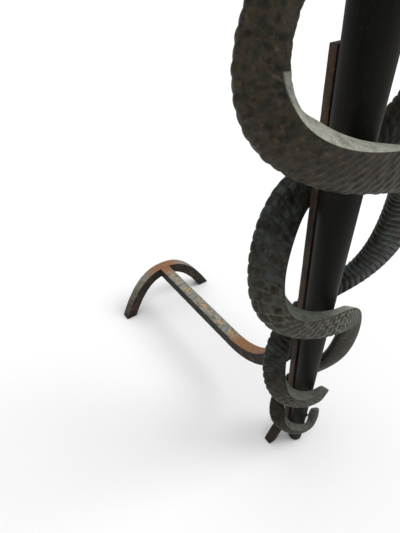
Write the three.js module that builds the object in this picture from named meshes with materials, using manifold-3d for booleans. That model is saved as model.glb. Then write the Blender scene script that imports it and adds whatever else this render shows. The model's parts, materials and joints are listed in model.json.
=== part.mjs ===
// A serpent andiron: a tapering bronze staff entwined by two serpents, carried by an
// iron upright with a small front foot, a square billet bar and an arched rear foot.
// Millimetres, +Z up. The front faces -Y, the fire side is +Y, and the origin is the
// centre of the staff's foot, on the hearth.
import * as THREE from 'three';
import { mergeVertices } from 'three/addons/utils/BufferGeometryUtils.js';
import Module from 'manifold-3d';

const wasm = await Module();
wasm.setup();

// ---------------------------------------------------------------- driving sizes
const SEAT_GAP = 0.3; // between pieces that touch
const PIN_GAP = 0.3; // round a pin, rivet or screw in its hole

// Staff: round and tapering, with a narrow flat down its back.
const STAFF_FOOT_RADIUS = 11;
const STAFF_TOP_RADIUS = 24.5;
const STAFF_HEIGHT = 655;
const STAFF_FOOT_ROUND = 4;
const STAFF_BACK_FLAT = 1.8; // depth of the flat below the round
const STAFF_SIDES = 28;
const STAFF_RINGS = 12;

// Finial: a collar, a neck and a ball, on a stud in the staff's top.
const COLLAR_OVERHANG = 4;
const COLLAR_HEIGHT = 9;
const NECK_RADIUS = 13;
const NECK_HEIGHT = 8;
const BALL_RADIUS = 23;
const FINIAL_SIDES = 32;
const STUD_RADIUS = 5;
const STUD_REACH = 20; // into each of the two pieces

// Serpents: crossings and loops from the tail up. Levels are whole where the two bodies
// cross at the staff, and halves at the widest places of the loops.
const CROSSING_HEIGHTS = [50, 145, 314, 517, 745];
const LOOP_HALF_WIDTHS = [39.5, 58.5, 90, 113];
const WIDTH_SHARE = [1, 0.93]; // left and right
const ROUNDNESS = [0.26, 0.75]; // left and right: 0 leaves a crossing steep, 1 makes it level
const HEIGHT_SKEW = 0.1; // how much sooner a body falls on the left, and later on the right
const WIDTH_SKEW = [0.087, -0.092]; // left and right: more brings the widest place to the front crossing
const DEPTH_SKEW = [0.047, 0.216]; // left and right: more keeps a body in front for longer
const REAR_DROP = 0.22; // levels that a crossing behind the staff lies lower
const BULGE_REARWARD = 7.6;
const FRONT_CLEARANCE = 3.6; // from the staff's front to a body that leans across it
const REAR_CLEARANCE = 5.8; // from the upright's back to such a body
const BULGE_TWIST = 29; // degrees that the smooth face turns to the front at the bulges
const SIDE_TWIST = 15; // degrees more on the left than on the right
const CROSSING_LEAN = [5, 11, 26, 8, 0]; // degrees that the smooth face leans back at a front crossing
const BODY_THICKNESS = [13, 23, 22, 30, 29, 38, 42, 43, 30]; // in the loop's plane, each half level
const BODY_DEPTH = [10, 15, 13, 23, 16, 30.5, 34, 30, 27]; // front to back, each half level
const BODY_NOSE_POWER = 2; // 2 is a half ellipse, more is squarer
const BODY_CROWN = 0.06; // swell of the smooth inner face, 1 is a full ellipse
const NOSE_STEPS = 10;
const FACE_STEPS = 4;
const RINGS_PER_LEVEL = 22;

// Tails and heads, in levels.
const TAIL_A_END = -0.38;
const TAIL_B_END = 0.79;
const TAIL_TURN = 0.12; // roundness of the lowest turn
const TAIL_TAPER = 0.1; // levels over which a tail narrows
const TAIL_TIP = 0.7; // share of its size left at the tip
const CROWN_START = 3.25; // from here up both serpents follow the same form
const CROWN_END = 3.8;
const HEAD_START = 3.7;
const HEAD_END = 3.9;
const HEAD_RINGS = 12;
const HEAD_JAW = 0.42; // place of the widest part along the head
const HEAD_WIDTH = 1.55; // share of the neck's depth
const HEAD_HEIGHT = 1.12; // share of the neck's thickness
const SNOUT_SIZE = 0.42;

// Iron upright behind the staff, tenoned into the front foot.
const UPRIGHT_WIDTH = 22;
const UPRIGHT_THICKNESS = 9.5;
const UPRIGHT_TOP = 610;
const UPRIGHT_TENON = 12;

// Front foot: a small arch under the upright.
const FRONT_FOOT_HALF_SPAN = 47.5;
const FRONT_FOOT_RISE = 40;
const FRONT_FOOT_BAR = 12;
const FRONT_FOOT_DEPTH = 14;
const FRONT_FOOT_SETBACK = 1; // behind the upright's front face

// Billet bar: square, straight, then swept up to a tongue on the upright's back.
const BAR_SIZE = 22;
const BAR_TOP = 102.4;
const BAR_LENGTH = 425; // from the upright's front face to the rear foot
const BAR_BEND_START = 163.6; // behind the upright's front face
const BAR_BEND_RADIUS = 120;
const BAR_BEND_ANGLE = 50; // degrees
const BAR_TIGHT_RADIUS = 38;
const TONGUE_TOP = 235;
const TONGUE_BEVEL = 5;
const BAR_TENON = 12;

// Rear foot: a wide arch in the same square bar.
const REAR_FOOT_HALF_SPAN = 114.6;
const ARCH_POWER = 2.32; // 2 is a parabola, more has steeper legs
const ARCH_STEPS = 14;

// Fasteners.
const SCREW_HEIGHTS = [68, 165, 360, 560];
const SCREW_RADIUS = 3;
const SCREW_HEAD_RADIUS = 6;
const SCREW_HEAD_HEIGHT = 3.2;
const SCREW_DEPTH = 10; // into the staff
const SLOT_WIDTH = 1.4;
const SLOT_DEPTH = 1.5;
const BOSS_RADIUS = 6;
const RIVET_RADIUS = 4;
const RIVET_HEAD_RADIUS = 7;
const RIVET_HEAD_HEIGHT = 4;
const RIVET_TOP_INSET = 9; // below the tongue's top end
const RIVET_PITCH = 16;
const RIVET_COUNT = 2;
const PIN_RADIUS = 2;
const PIN_DEPTH = 8; // into the staff
const PIN_SHARE = 0.55; // of the serpent's depth
const DOWEL_RADIUS = 3;
const DOWEL_REACH = 9; // into each casting
const FASTENER_SIDES = 16;

// ---------------------------------------------------------------- derived places
const UPRIGHT_FRONT = STAFF_FOOT_RADIUS;
const UPRIGHT_BACK = UPRIGHT_FRONT + UPRIGHT_THICKNESS;
const STAFF_BACK = UPRIGHT_FRONT - STAFF_BACK_FLAT;
const REAR_FOOT_FRONT = UPRIGHT_FRONT + BAR_LENGTH;
const FRONT_FOOT_FRONT = UPRIGHT_FRONT + FRONT_FOOT_SETBACK;

const UP = new THREE.Vector3(0, 0, 1);
const FORWARD = new THREE.Vector3(0, -1, 0);
const REARWARD = new THREE.Vector3(0, 1, 0);
const radians = THREE.MathUtils.degToRad;

// ---------------------------------------------------------------- finishes
const BRONZE = { roughness: 0.55, metalness: 0.8 };
const IRON = { roughness: 0.75, metalness: 0.55 };
const darkBronze = () => new THREE.MeshStandardMaterial({ color: 0x2b2d27, ...BRONZE });
const greenBronze = () => new THREE.MeshStandardMaterial({ color: 0x3b443d, ...BRONZE });
const greyIron = () => new THREE.MeshStandardMaterial({ color: 0x5d5f5a, ...IRON });
const rustyIron = () => new THREE.MeshStandardMaterial({ color: 0x5a4033, ...IRON });

const andiron = new THREE.Group();

function addPiece(name, geometry, material) {
  const mesh = new THREE.Mesh(geometry, material);
  mesh.name = name;
  andiron.add(mesh);
}

// ---------------------------------------------------------------- solids
function toSolid(geometry) {
  const bare = geometry.clone();
  bare.deleteAttribute('normal');
  bare.deleteAttribute('uv');
  const merged = mergeVertices(bare, 1e-4);
  return new wasm.Manifold(new wasm.Mesh({
    numProp: 3,
    vertProperties: new Float32Array(merged.attributes.position.array),
    triVerts: new Uint32Array(merged.index.array),
  }));
}

function toGeometry(solid) {
  const mesh = solid.getMesh();
  const geometry = new THREE.BufferGeometry();
  geometry.setAttribute('position', new THREE.BufferAttribute(new Float32Array(mesh.vertProperties), 3));
  geometry.setIndex(new THREE.BufferAttribute(new Uint32Array(mesh.triVerts), 1));
  return geometry;
}

function join(geometry, others) {
  return toGeometry(others.reduce((solid, other) => solid.add(toSolid(other)), toSolid(geometry)));
}

function cut(geometry, others) {
  return toGeometry(others.reduce((solid, other) => solid.subtract(toSolid(other)), toSolid(geometry)));
}

function signedVolume(points, index) {
  let sum = 0;
  for (let i = 0; i < index.length; i += 3) {
    const [a, b, c] = [points[index[i]], points[index[i + 1]], points[index[i + 2]]];
    sum += a.dot(b.clone().cross(c));
  }
  return sum / 6;
}

// A closed body through rings of equal count, with a flat fan on each end.
function ringBody(rings) {
  const count = rings[0].length;
  const points = rings.flat();
  const index = [];
  for (let r = 0; r + 1 < rings.length; r += 1) {
    for (let i = 0; i < count; i += 1) {
      const j = (i + 1) % count;
      const low = r * count;
      const high = low + count;
      index.push(low + i, low + j, high + j, low + i, high + j, high + i);
    }
  }
  const last = (rings.length - 1) * count;
  for (const [start, first, second] of [[0, 1, 0], [last, 0, 1]]) {
    const centre = new THREE.Vector3();
    for (let i = 0; i < count; i += 1) centre.addScaledVector(points[start + i], 1 / count);
    points.push(centre);
    for (let i = 0; i < count; i += 1) {
      index.push(points.length - 1, start + ((i + first) % count), start + ((i + second) % count));
    }
  }
  if (signedVolume(points, index) < 0) index.reverse();
  const geometry = new THREE.BufferGeometry();
  geometry.setAttribute('position', new THREE.Float32BufferAttribute(points.flatMap((p) => p.toArray()), 3));
  geometry.setIndex(index);
  return geometry;
}

function block(x0, x1, y0, y1, z0, z1) {
  const geometry = new THREE.BoxGeometry(x1 - x0, y1 - y0, z1 - z0);
  geometry.translate((x0 + x1) / 2, (y0 + y1) / 2, (z0 + z1) / 2);
  return geometry;
}

// An outline of [across, height] points drawn in X-Z, with its depth along Y.
function archPlate(outline, front, depth) {
  const shape = new THREE.Shape(outline.map(([x, z]) => new THREE.Vector2(x, z)));
  const geometry = new THREE.ExtrudeGeometry(shape, { depth, bevelEnabled: false });
  geometry.rotateX(Math.PI / 2);
  geometry.translate(0, front + depth, 0);
  return geometry;
}

// An outline of [rearward, height] points drawn in Y-Z, with its width along X.
function sidePlate(outline, width) {
  const shape = new THREE.Shape(outline.map(([y, z]) => new THREE.Vector2(y, z)));
  const geometry = new THREE.ExtrudeGeometry(shape, { depth: width, bevelEnabled: false });
  geometry.rotateX(Math.PI / 2);
  geometry.rotateZ(Math.PI / 2);
  geometry.translate(-width / 2, 0, 0);
  return geometry;
}

// A turned profile of [radius, distance] points, laid from an origin along a direction.
function turned(profile, origin, direction, sides) {
  const points = profile.map(([radius, distance]) => new THREE.Vector2(radius, distance));
  const geometry = new THREE.LatheGeometry(points, sides);
  geometry.applyQuaternion(new THREE.Quaternion().setFromUnitVectors(new THREE.Vector3(0, 1, 0), direction));
  geometry.translate(origin.x, origin.y, origin.z);
  return geometry;
}

function rod(radius, origin, direction, length) {
  return turned([[0, 0], [radius, 0], [radius, length], [0, length]], origin, direction, FASTENER_SIDES);
}

// The hole for a rod, larger by the pin gap all over.
function hole(radius, origin, direction, length) {
  const start = origin.clone().addScaledVector(direction, -PIN_GAP);
  return rod(radius + PIN_GAP, start, direction, length + 2 * PIN_GAP);
}

// A smooth curve through evenly spaced knots, read at any place.
function smooth(knots, place) {
  const last = knots.length - 1;
  const cell = THREE.MathUtils.clamp(Math.floor(place), 0, last - 1);
  const t = THREE.MathUtils.clamp(place - cell, 0, 1);
  const past = place - cell - t;
  const before = cell > 0 ? knots[cell - 1] : 2 * knots[0] - knots[1];
  const after = cell + 2 <= last ? knots[cell + 2] : 2 * knots[last] - knots[last - 1];
  const [start, end] = [knots[cell], knots[cell + 1]];
  const slopeIn = (end - before) / 2;
  const slopeOut = (after - start) / 2;
  const square = t * t;
  const cube = square * t;
  const inside = start * (2 * cube - 3 * square + 1) + slopeIn * (cube - 2 * square + t)
    + end * (3 * square - 2 * cube) + slopeOut * (cube - square);
  return inside + past * (past < 0 ? slopeIn : slopeOut);
}

// ---------------------------------------------------------------- staff
const staffRadius = (z) => THREE.MathUtils.lerp(STAFF_FOOT_RADIUS, STAFF_TOP_RADIUS, z / STAFF_HEIGHT);
const staffCentre = (z) => STAFF_FOOT_RADIUS - staffRadius(z);
const staffFront = (z) => staffCentre(z) - staffRadius(z);

function staffRing(z, radius) {
  const ring = [];
  for (let i = 0; i < STAFF_SIDES; i += 1) {
    const angle = (2 * Math.PI * (i + 0.5)) / STAFF_SIDES;
    const y = staffCentre(z) + radius * Math.sin(angle);
    ring.push(new THREE.Vector3(radius * Math.cos(angle), Math.min(y, STAFF_BACK), z));
  }
  return ring;
}

function staffBlank() {
  const rings = [];
  for (const angle of [0, 30, 60].map(radians)) {
    const z = STAFF_FOOT_ROUND * (1 - Math.cos(angle));
    rings.push(staffRing(z, staffRadius(z) - STAFF_FOOT_ROUND * (1 - Math.sin(angle))));
  }
  for (let i = 0; i <= STAFF_RINGS; i += 1) {
    const z = THREE.MathUtils.lerp(STAFF_FOOT_ROUND, STAFF_HEIGHT, i / STAFF_RINGS);
    rings.push(staffRing(z, staffRadius(z)));
  }
  return ringBody(rings);
}

// ---------------------------------------------------------------- serpents
// Side is 1 for the serpent that crosses in front at the even levels, -1 for the other.
const crownBlend = (level) => THREE.MathUtils.smoothstep(level, CROWN_START, CROWN_END);
const bodyThickness = (level) => smooth(BODY_THICKNESS, 2 * Math.abs(level));
const bodyDepth = (level) => smooth(BODY_DEPTH, 2 * Math.abs(level));
const crossingDepth = (level) => smooth(BODY_DEPTH.filter((_, i) => i % 2 === 0), Math.abs(level));
const crossingThickness = (level) => smooth(BODY_THICKNESS.filter((_, i) => i % 2 === 0), Math.abs(level));

// From 1 at the widest place on the left to -1 on the right, fading out in the crown.
const leftward = (level, side) => side * Math.sin(Math.PI * level) * (1 - crownBlend(level));
const sided = ([left, right], level, side) => (left + right) / 2 + ((left - right) / 2) * leftward(level, side);

// The angle that the smooth face leans back near a front crossing.
function frontLean(level, side) {
  const ahead = ((1 + side * Math.cos(Math.PI * level)) / 2) ** 2;
  return radians(smooth(CROSSING_LEAN, Math.abs(level))) * ahead * (1 - crownBlend(level));
}

function serpentHeight(level, side) {
  const lifted = level < 0.5 ? Math.hypot(level, TAIL_TURN) : level;
  const apart = 1 - crownBlend(level);
  const eased = lifted - (sided(ROUNDNESS, level, side) * Math.sin(2 * Math.PI * lifted)) / (2 * Math.PI);
  const skewed = eased - (HEIGHT_SKEW * side * Math.sin(Math.PI * lifted) * apart) / Math.PI;
  return smooth(CROSSING_HEIGHTS, skewed - (REAR_DROP * (1 - side * Math.cos(Math.PI * lifted) * apart)) / 2);
}

function serpentCentre(level, side) {
  const z = serpentHeight(level, side);
  const lean = frontLean(level, side);
  const half = crossingDepth(level) / 2;
  const leaning = Math.hypot(half * Math.cos(lean), (crossingThickness(level) / 2) * Math.sin(lean));
  const front = staffFront(z + bodyThickness(level) / 2) - FRONT_CLEARANCE - leaning;
  const back = UPRIGHT_BACK + REAR_CLEARANCE + half;
  const bulge = Math.sin(Math.PI * level);
  const skew = leftward(level, side);
  const swing = Math.cos(Math.PI * (level - sided(DEPTH_SKEW, level, side) * skew)) * side;
  const reach = Math.sin(Math.PI * (level + sided(WIDTH_SKEW, level, side) * skew));
  const turned = (front + back) / 2 + (swing * (front - back)) / 2 + BULGE_REARWARD * bulge * bulge;
  const y = THREE.MathUtils.lerp(turned, staffCentre(z), crownBlend(level));
  const width = smooth(LOOP_HALF_WIDTHS, Math.abs(level) - 0.5) * sided(WIDTH_SHARE, level, side);
  return new THREE.Vector3(-side * width * reach, y, z);
}

// The tangent runs towards the tail. Front is the section's forward edge, and flat is
// the way that its smooth face looks.
function serpentFrame(level, side) {
  const step = 0.01;
  const tangent = serpentCentre(level - step, side).sub(serpentCentre(level + step, side)).normalize();
  const front = FORWARD.clone().addScaledVector(tangent, -FORWARD.dot(tangent)).normalize();
  const bulge = Math.sin(Math.PI * level);
  const twist = radians(BULGE_TWIST) * bulge * bulge + radians(SIDE_TWIST) * side * bulge;
  front.applyAxisAngle(tangent, twist * (1 - crownBlend(level)) - frontLean(level, side));
  return { tangent, front, flat: front.clone().cross(tangent) };
}

// The section: a smooth face, slightly crowned, and a full rounded outer side.
function serpentRing(level, side, width, height, crown) {
  const centre = serpentCentre(level, side);
  const { front, flat } = serpentFrame(level, side);
  const thickness = bodyThickness(level) * height;
  const depth = bodyDepth(level) * width;
  const edge = (1 - crown) / 2;
  const power = 2 / BODY_NOSE_POWER;
  const ring = [];
  const addPoint = (across, up) => {
    ring.push(centre.clone().addScaledVector(front, (across * depth) / 2).addScaledVector(flat, up * thickness));
  };
  for (let i = 0; i <= NOSE_STEPS; i += 1) {
    const angle = (Math.PI * i) / NOSE_STEPS;
    const across = Math.sign(Math.cos(angle)) * Math.abs(Math.cos(angle)) ** power;
    addPoint(across, edge - (edge + 0.5) * Math.sin(angle) ** power);
  }
  for (let i = 1; i <= FACE_STEPS; i += 1) {
    const angle = Math.PI * (1 + i / (FACE_STEPS + 1));
    addPoint(Math.cos(angle), edge - (0.5 - edge) * Math.sin(angle));
  }
  return ring;
}

// The share of its full size that a tail has at a level.
function tailSize(level, tail) {
  const left = THREE.MathUtils.clamp((level - tail) / TAIL_TAPER, 0, 1);
  return THREE.MathUtils.lerp(TAIL_TIP, 1, Math.sqrt(left));
}

function bodyRings(from, to, side, tail) {
  const count = Math.ceil((to - from) * RINGS_PER_LEVEL);
  const rings = [];
  for (let i = 0; i <= count; i += 1) {
    const level = THREE.MathUtils.lerp(from, to, i / count);
    const size = tailSize(level, tail);
    const crown = THREE.MathUtils.lerp(BODY_CROWN, 1, crownBlend(level));
    rings.push(serpentRing(level, side, size, size, crown));
  }
  return rings;
}

// A head widens from the neck to the jaw and narrows in a curve to the snout.
function headRings(side) {
  const rings = [];
  for (let i = 1; i <= HEAD_RINGS; i += 1) {
    const along = i / HEAD_RINGS;
    const swell = THREE.MathUtils.smoothstep(along, 0, HEAD_JAW);
    const taper = along < HEAD_JAW ? 0 : (along - HEAD_JAW) / (1 - HEAD_JAW);
    const shape = THREE.MathUtils.lerp(1, SNOUT_SIZE, taper ** 1.8);
    const width = THREE.MathUtils.lerp(1, HEAD_WIDTH, swell) * shape;
    const height = THREE.MathUtils.lerp(1, HEAD_HEIGHT, swell) * THREE.MathUtils.lerp(1, SNOUT_SIZE, taper ** 2.4);
    rings.push(serpentRing(THREE.MathUtils.lerp(HEAD_START, HEAD_END, along), side, width, height, 1));
  }
  return rings;
}

// Half of the seat gap between two castings, measured in levels.
function jointInset(level, side) {
  const reach = 0.01;
  const travel = serpentCentre(level + reach, side).distanceTo(serpentCentre(level - reach, side));
  return (SEAT_GAP / travel) * reach;
}

const NO_TAIL = -1;
const SERPENTS = [
  { name: 'serpent_a', side: 1, tail: TAIL_A_END, joints: [1, 3], fronts: [0, 2] },
  { name: 'serpent_b', side: -1, tail: TAIL_B_END, joints: [2], fronts: [1, 3] },
];

// The pin that holds a serpent to the staff where it crosses in front.
function crossingPin(level, side) {
  const centre = serpentCentre(level, side);
  const start = new THREE.Vector3(0, staffFront(centre.z) + PIN_DEPTH, centre.z);
  return [PIN_RADIUS, start, FORWARD, PIN_DEPTH + FRONT_CLEARANCE + PIN_SHARE * bodyDepth(level)];
}

// The dowel inside two castings where they meet behind the upright.
function jointDowel(level, side) {
  const { tangent } = serpentFrame(level, side);
  const start = serpentCentre(level, side).addScaledVector(tangent, -DOWEL_REACH);
  return [DOWEL_RADIUS, start, tangent, 2 * DOWEL_REACH];
}

function addSerpent({ name, side, tail, joints, fronts }) {
  const cuts = [
    ...fronts.map((level) => hole(...crossingPin(level, side))),
    ...joints.map((level) => hole(...jointDowel(level, side))),
  ];
  const ends = [tail, ...joints, HEAD_START];
  const labels = ends.length > 3 ? ['tail', 'middle', 'head'] : ['tail', 'head'];
  labels.forEach((label, i) => {
    const from = i === 0 ? tail : ends[i] + jointInset(ends[i], side);
    const isHead = i === labels.length - 1;
    const to = isHead ? HEAD_START : ends[i + 1] - jointInset(ends[i + 1], side);
    const rings = bodyRings(from, to, side, i === 0 ? tail : NO_TAIL);
    if (isHead) rings.push(...headRings(side));
    addPiece(`${name}_${label}`, cut(ringBody(rings), cuts), greenBronze());
  });
  fronts.forEach((level) => addPiece(`crossing_pin_${level + 1}`, rod(...crossingPin(level, side)), darkBronze()));
  joints.forEach((level) => addPiece(`joint_dowel_${level}`, rod(...jointDowel(level, side)), darkBronze()));
}

// ---------------------------------------------------------------- finial
const finialBase = new THREE.Vector3(0, staffCentre(STAFF_HEIGHT), STAFF_HEIGHT);

function finialBlank() {
  const collar = STAFF_TOP_RADIUS + COLLAR_OVERHANG;
  const ballCentre = COLLAR_HEIGHT + NECK_HEIGHT + Math.sqrt(BALL_RADIUS ** 2 - NECK_RADIUS ** 2);
  const start = Math.asin(NECK_RADIUS / BALL_RADIUS);
  const steps = 12;
  const profile = [[0, SEAT_GAP], [STAFF_TOP_RADIUS, SEAT_GAP]];
  for (let i = 0; i <= 4; i += 1) {
    const angle = (Math.PI * i) / 4;
    const height = COLLAR_HEIGHT / 2 - ((COLLAR_HEIGHT / 2 - SEAT_GAP) * Math.cos(angle));
    profile.push([STAFF_TOP_RADIUS + 0.1 + (collar - STAFF_TOP_RADIUS) * Math.sin(angle), height]);
  }
  profile.push([NECK_RADIUS, COLLAR_HEIGHT + 1]);
  for (let i = 0; i <= steps; i += 1) {
    const angle = start + ((Math.PI - start) * i) / steps;
    const radius = i === steps ? 0 : BALL_RADIUS * Math.sin(angle);
    profile.push([radius, ballCentre - BALL_RADIUS * Math.cos(angle)]);
  }
  return turned(profile, finialBase, UP, FINIAL_SIDES);
}

function finialStud() {
  const start = finialBase.clone().addScaledVector(UP, -STUD_REACH);
  return [STUD_RADIUS, start, UP, 2 * STUD_REACH];
}

// ---------------------------------------------------------------- arches and bars
// An arched foot: the outer curve, and the same curve drawn in by the bar's size.
function archOutline(halfSpan, rise, bar) {
  const outer = [];
  const inner = [];
  const reach = 1 + bar / halfSpan;
  for (let i = -ARCH_STEPS; i <= ARCH_STEPS; i += 1) {
    const share = reach * Math.sin((Math.PI * i) / (2 * ARCH_STEPS));
    const x = halfSpan * share;
    const z = rise * (1 - Math.abs(share) ** ARCH_POWER);
    const slope = (-Math.sign(share) * rise * ARCH_POWER * Math.abs(share) ** (ARCH_POWER - 1)) / halfSpan;
    const long = Math.hypot(1, slope);
    outer.push([x, z]);
    inner.push([x + (bar * slope) / long, z - bar / long]);
  }
  return [...outer, ...inner.reverse()];
}

function archFoot(halfSpan, rise, bar, front, depth) {
  const wide = 2 * halfSpan;
  const below = block(-wide, wide, front - bar, front + depth + bar, -wide, 0);
  return cut(archPlate(archOutline(halfSpan, rise, bar), front, depth), [below]);
}

function uprightTenon(gap) {
  const half = UPRIGHT_TENON / 2 + gap;
  const base = FRONT_FOOT_RISE - FRONT_FOOT_BAR;
  const front = FRONT_FOOT_FRONT + SEAT_GAP;
  return block(-half, half, front - 4 * gap, UPRIGHT_BACK + gap, base - gap, FRONT_FOOT_RISE + 2 * SEAT_GAP);
}

function barTenon(gap) {
  const half = BAR_TENON / 2 + gap;
  const middle = BAR_TOP - BAR_SIZE / 2;
  const end = REAR_FOOT_FRONT + BAR_SIZE + gap;
  return block(-half, half, REAR_FOOT_FRONT - 2 * SEAT_GAP, end, middle - half, middle + half);
}

// The swept side of the billet bar, from the bar up to the tongue, at an offset from its
// top face. Angles run from level to upright.
function barSweep(offset) {
  const angle = radians(BAR_BEND_ANGLE);
  const tight = BAR_TIGHT_RADIUS + BAR_SIZE;
  const start = UPRIGHT_FRONT + BAR_BEND_START;
  const wideEnd = start - (BAR_BEND_RADIUS + BAR_SIZE) * Math.sin(angle);
  const tongue = UPRIGHT_BACK + SEAT_GAP;
  const run = (wideEnd - tongue - tight * (1 - Math.sin(angle))) / Math.cos(angle);
  const points = [];
  const steps = 8;
  for (let i = 0; i <= steps; i += 1) {
    const at = (angle * i) / steps;
    const radius = BAR_BEND_RADIUS + offset;
    points.push([start - radius * Math.sin(at), BAR_TOP + BAR_BEND_RADIUS - radius * Math.cos(at)]);
  }
  const centreY = tongue + tight;
  const centreZ = BAR_TOP + BAR_BEND_RADIUS - (BAR_BEND_RADIUS - BAR_TIGHT_RADIUS) * Math.cos(angle)
    + run * Math.sin(angle);
  for (let i = 0; i <= steps; i += 1) {
    const at = angle + ((Math.PI / 2 - angle) * i) / steps;
    const radius = BAR_TIGHT_RADIUS + offset;
    points.push([centreY - radius * Math.sin(at), centreZ - radius * Math.cos(at)]);
  }
  return points;
}

function billetBlank() {
  const end = REAR_FOOT_FRONT - SEAT_GAP;
  const tongueFront = UPRIGHT_BACK + SEAT_GAP;
  const tongueBack = tongueFront + BAR_SIZE;
  const outline = [
    [end, BAR_TOP - BAR_SIZE],
    ...barSweep(BAR_SIZE),
    [tongueFront, TONGUE_TOP],
    [tongueBack - TONGUE_BEVEL, TONGUE_TOP],
    [tongueBack, TONGUE_TOP - TONGUE_BEVEL],
    ...barSweep(0).reverse(),
    [end, BAR_TOP],
  ];
  return join(sidePlate(outline, BAR_SIZE), [barTenon(0)]);
}

// ---------------------------------------------------------------- fasteners
const screwHole = (z) => {
  const start = new THREE.Vector3(0, UPRIGHT_BACK, z);
  return hole(SCREW_RADIUS, start, FORWARD, UPRIGHT_BACK - STAFF_BACK + SCREW_DEPTH);
};

function screw(z) {
  const base = UPRIGHT_BACK + SEAT_GAP;
  const length = base - STAFF_BACK + SCREW_DEPTH;
  const profile = [
    [0, -SCREW_HEAD_HEIGHT],
    [SCREW_HEAD_RADIUS * 0.7, -SCREW_HEAD_HEIGHT],
    [SCREW_HEAD_RADIUS, -SCREW_HEAD_HEIGHT / 2],
    [SCREW_HEAD_RADIUS, 0],
    [SCREW_RADIUS, 0],
    [SCREW_RADIUS, length],
    [0, length],
  ];
  const body = turned(profile, new THREE.Vector3(0, base, z), FORWARD, FASTENER_SIDES);
  const top = base + SCREW_HEAD_HEIGHT;
  const wide = 2 * SCREW_HEAD_RADIUS;
  return cut(body, [block(-wide, wide, top - SLOT_DEPTH, top + 1, z - SLOT_WIDTH / 2, z + SLOT_WIDTH / 2)]);
}

// A rivet through the tongue and the upright: countersunk in front, domed behind.
const rivetHeight = (i) => TONGUE_TOP - RIVET_TOP_INSET - i * RIVET_PITCH;

function rivetProfile(gap) {
  const sink = RIVET_HEAD_RADIUS - RIVET_RADIUS;
  const front = -gap;
  const back = UPRIGHT_THICKNESS + BAR_SIZE + 2 * SEAT_GAP;
  return { sink, front, back };
}

function rivet(i) {
  const { sink, back } = rivetProfile(0);
  const profile = [[0, 0], [RIVET_HEAD_RADIUS, 0], [RIVET_RADIUS, sink], [RIVET_RADIUS, back]];
  for (let k = 0; k < 4; k += 1) {
    const angle = (Math.PI * k) / 8;
    profile.push([RIVET_HEAD_RADIUS * Math.cos(angle), back + RIVET_HEAD_HEIGHT * Math.sin(angle)]);
  }
  profile.push([0, back + RIVET_HEAD_HEIGHT]);
  return turned(profile, new THREE.Vector3(0, UPRIGHT_FRONT, rivetHeight(i)), REARWARD, FASTENER_SIDES);
}

function rivetHole(i) {
  const { sink, front, back } = rivetProfile(PIN_GAP);
  const wide = RIVET_HEAD_RADIUS + PIN_GAP;
  const narrow = RIVET_RADIUS + PIN_GAP;
  const profile = [[0, front], [wide, front], [wide, 0], [narrow, sink], [narrow, back], [0, back]];
  return turned(profile, new THREE.Vector3(0, UPRIGHT_FRONT, rivetHeight(i)), REARWARD, FASTENER_SIDES);
}

// ---------------------------------------------------------------- assembly
const screwHoles = SCREW_HEIGHTS.map(screwHole);
const rivetHoles = Array.from({ length: RIVET_COUNT }, (_, i) => rivetHole(i));
const pinHoles = SERPENTS.flatMap(({ side, fronts }) => fronts.map((level) => hole(...crossingPin(level, side))));

const bosses = SCREW_HEIGHTS.map((z) => {
  const start = new THREE.Vector3(0, STAFF_BACK - BOSS_RADIUS, z);
  return rod(BOSS_RADIUS, start, REARWARD, BOSS_RADIUS + STAFF_BACK_FLAT - SEAT_GAP);
});
const staffCuts = [...screwHoles, ...pinHoles, hole(...finialStud())];
addPiece('staff', cut(join(staffBlank(), bosses), staffCuts), darkBronze());
addPiece('finial', cut(finialBlank(), [hole(...finialStud())]), darkBronze());
addPiece('finial_stud', rod(...finialStud()), darkBronze());

SERPENTS.forEach(addSerpent);

const uprightBlank = join(
  block(
    -UPRIGHT_WIDTH / 2,
    UPRIGHT_WIDTH / 2,
    UPRIGHT_FRONT,
    UPRIGHT_BACK,
    FRONT_FOOT_RISE + SEAT_GAP,
    UPRIGHT_TOP,
  ),
  [uprightTenon(0)],
);
addPiece('upright', cut(uprightBlank, [...screwHoles, ...rivetHoles]), rustyIron());

const frontFoot = archFoot(
  FRONT_FOOT_HALF_SPAN,
  FRONT_FOOT_RISE,
  FRONT_FOOT_BAR,
  FRONT_FOOT_FRONT,
  FRONT_FOOT_DEPTH,
);
addPiece('front_foot', cut(frontFoot, [uprightTenon(PIN_GAP)]), rustyIron());
addPiece('billet_bar', cut(billetBlank(), rivetHoles), greyIron());

const rearFoot = archFoot(REAR_FOOT_HALF_SPAN, BAR_TOP, BAR_SIZE, REAR_FOOT_FRONT, BAR_SIZE);
addPiece('rear_foot', cut(rearFoot, [barTenon(PIN_GAP)]), greyIron());

SCREW_HEIGHTS.forEach((z, i) => addPiece(`staff_screw_${i + 1}`, screw(z), rustyIron()));
for (let i = 0; i < RIVET_COUNT; i += 1) addPiece(`tongue_rivet_${i + 1}`, rivet(i), rustyIron());

export default andiron;
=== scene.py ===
"""Looks of a serpent andiron: a bronze staff entwined by two serpents, on forged iron feet.

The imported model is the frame. The serpents are rebuilt along the same loops with their
scales, heads and eyes, the staff, the finial and the bars are modelled with their worn
edges, and every piece and every shown node of the frame gets a finish of its own.
"""

from __future__ import annotations

import json
import logging
import math
from contextlib import contextmanager
from dataclasses import dataclass
from enum import Enum
from typing import Iterator, Sequence

import bmesh
import bpy
import numpy as np
from mathutils import Matrix, Vector

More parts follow.
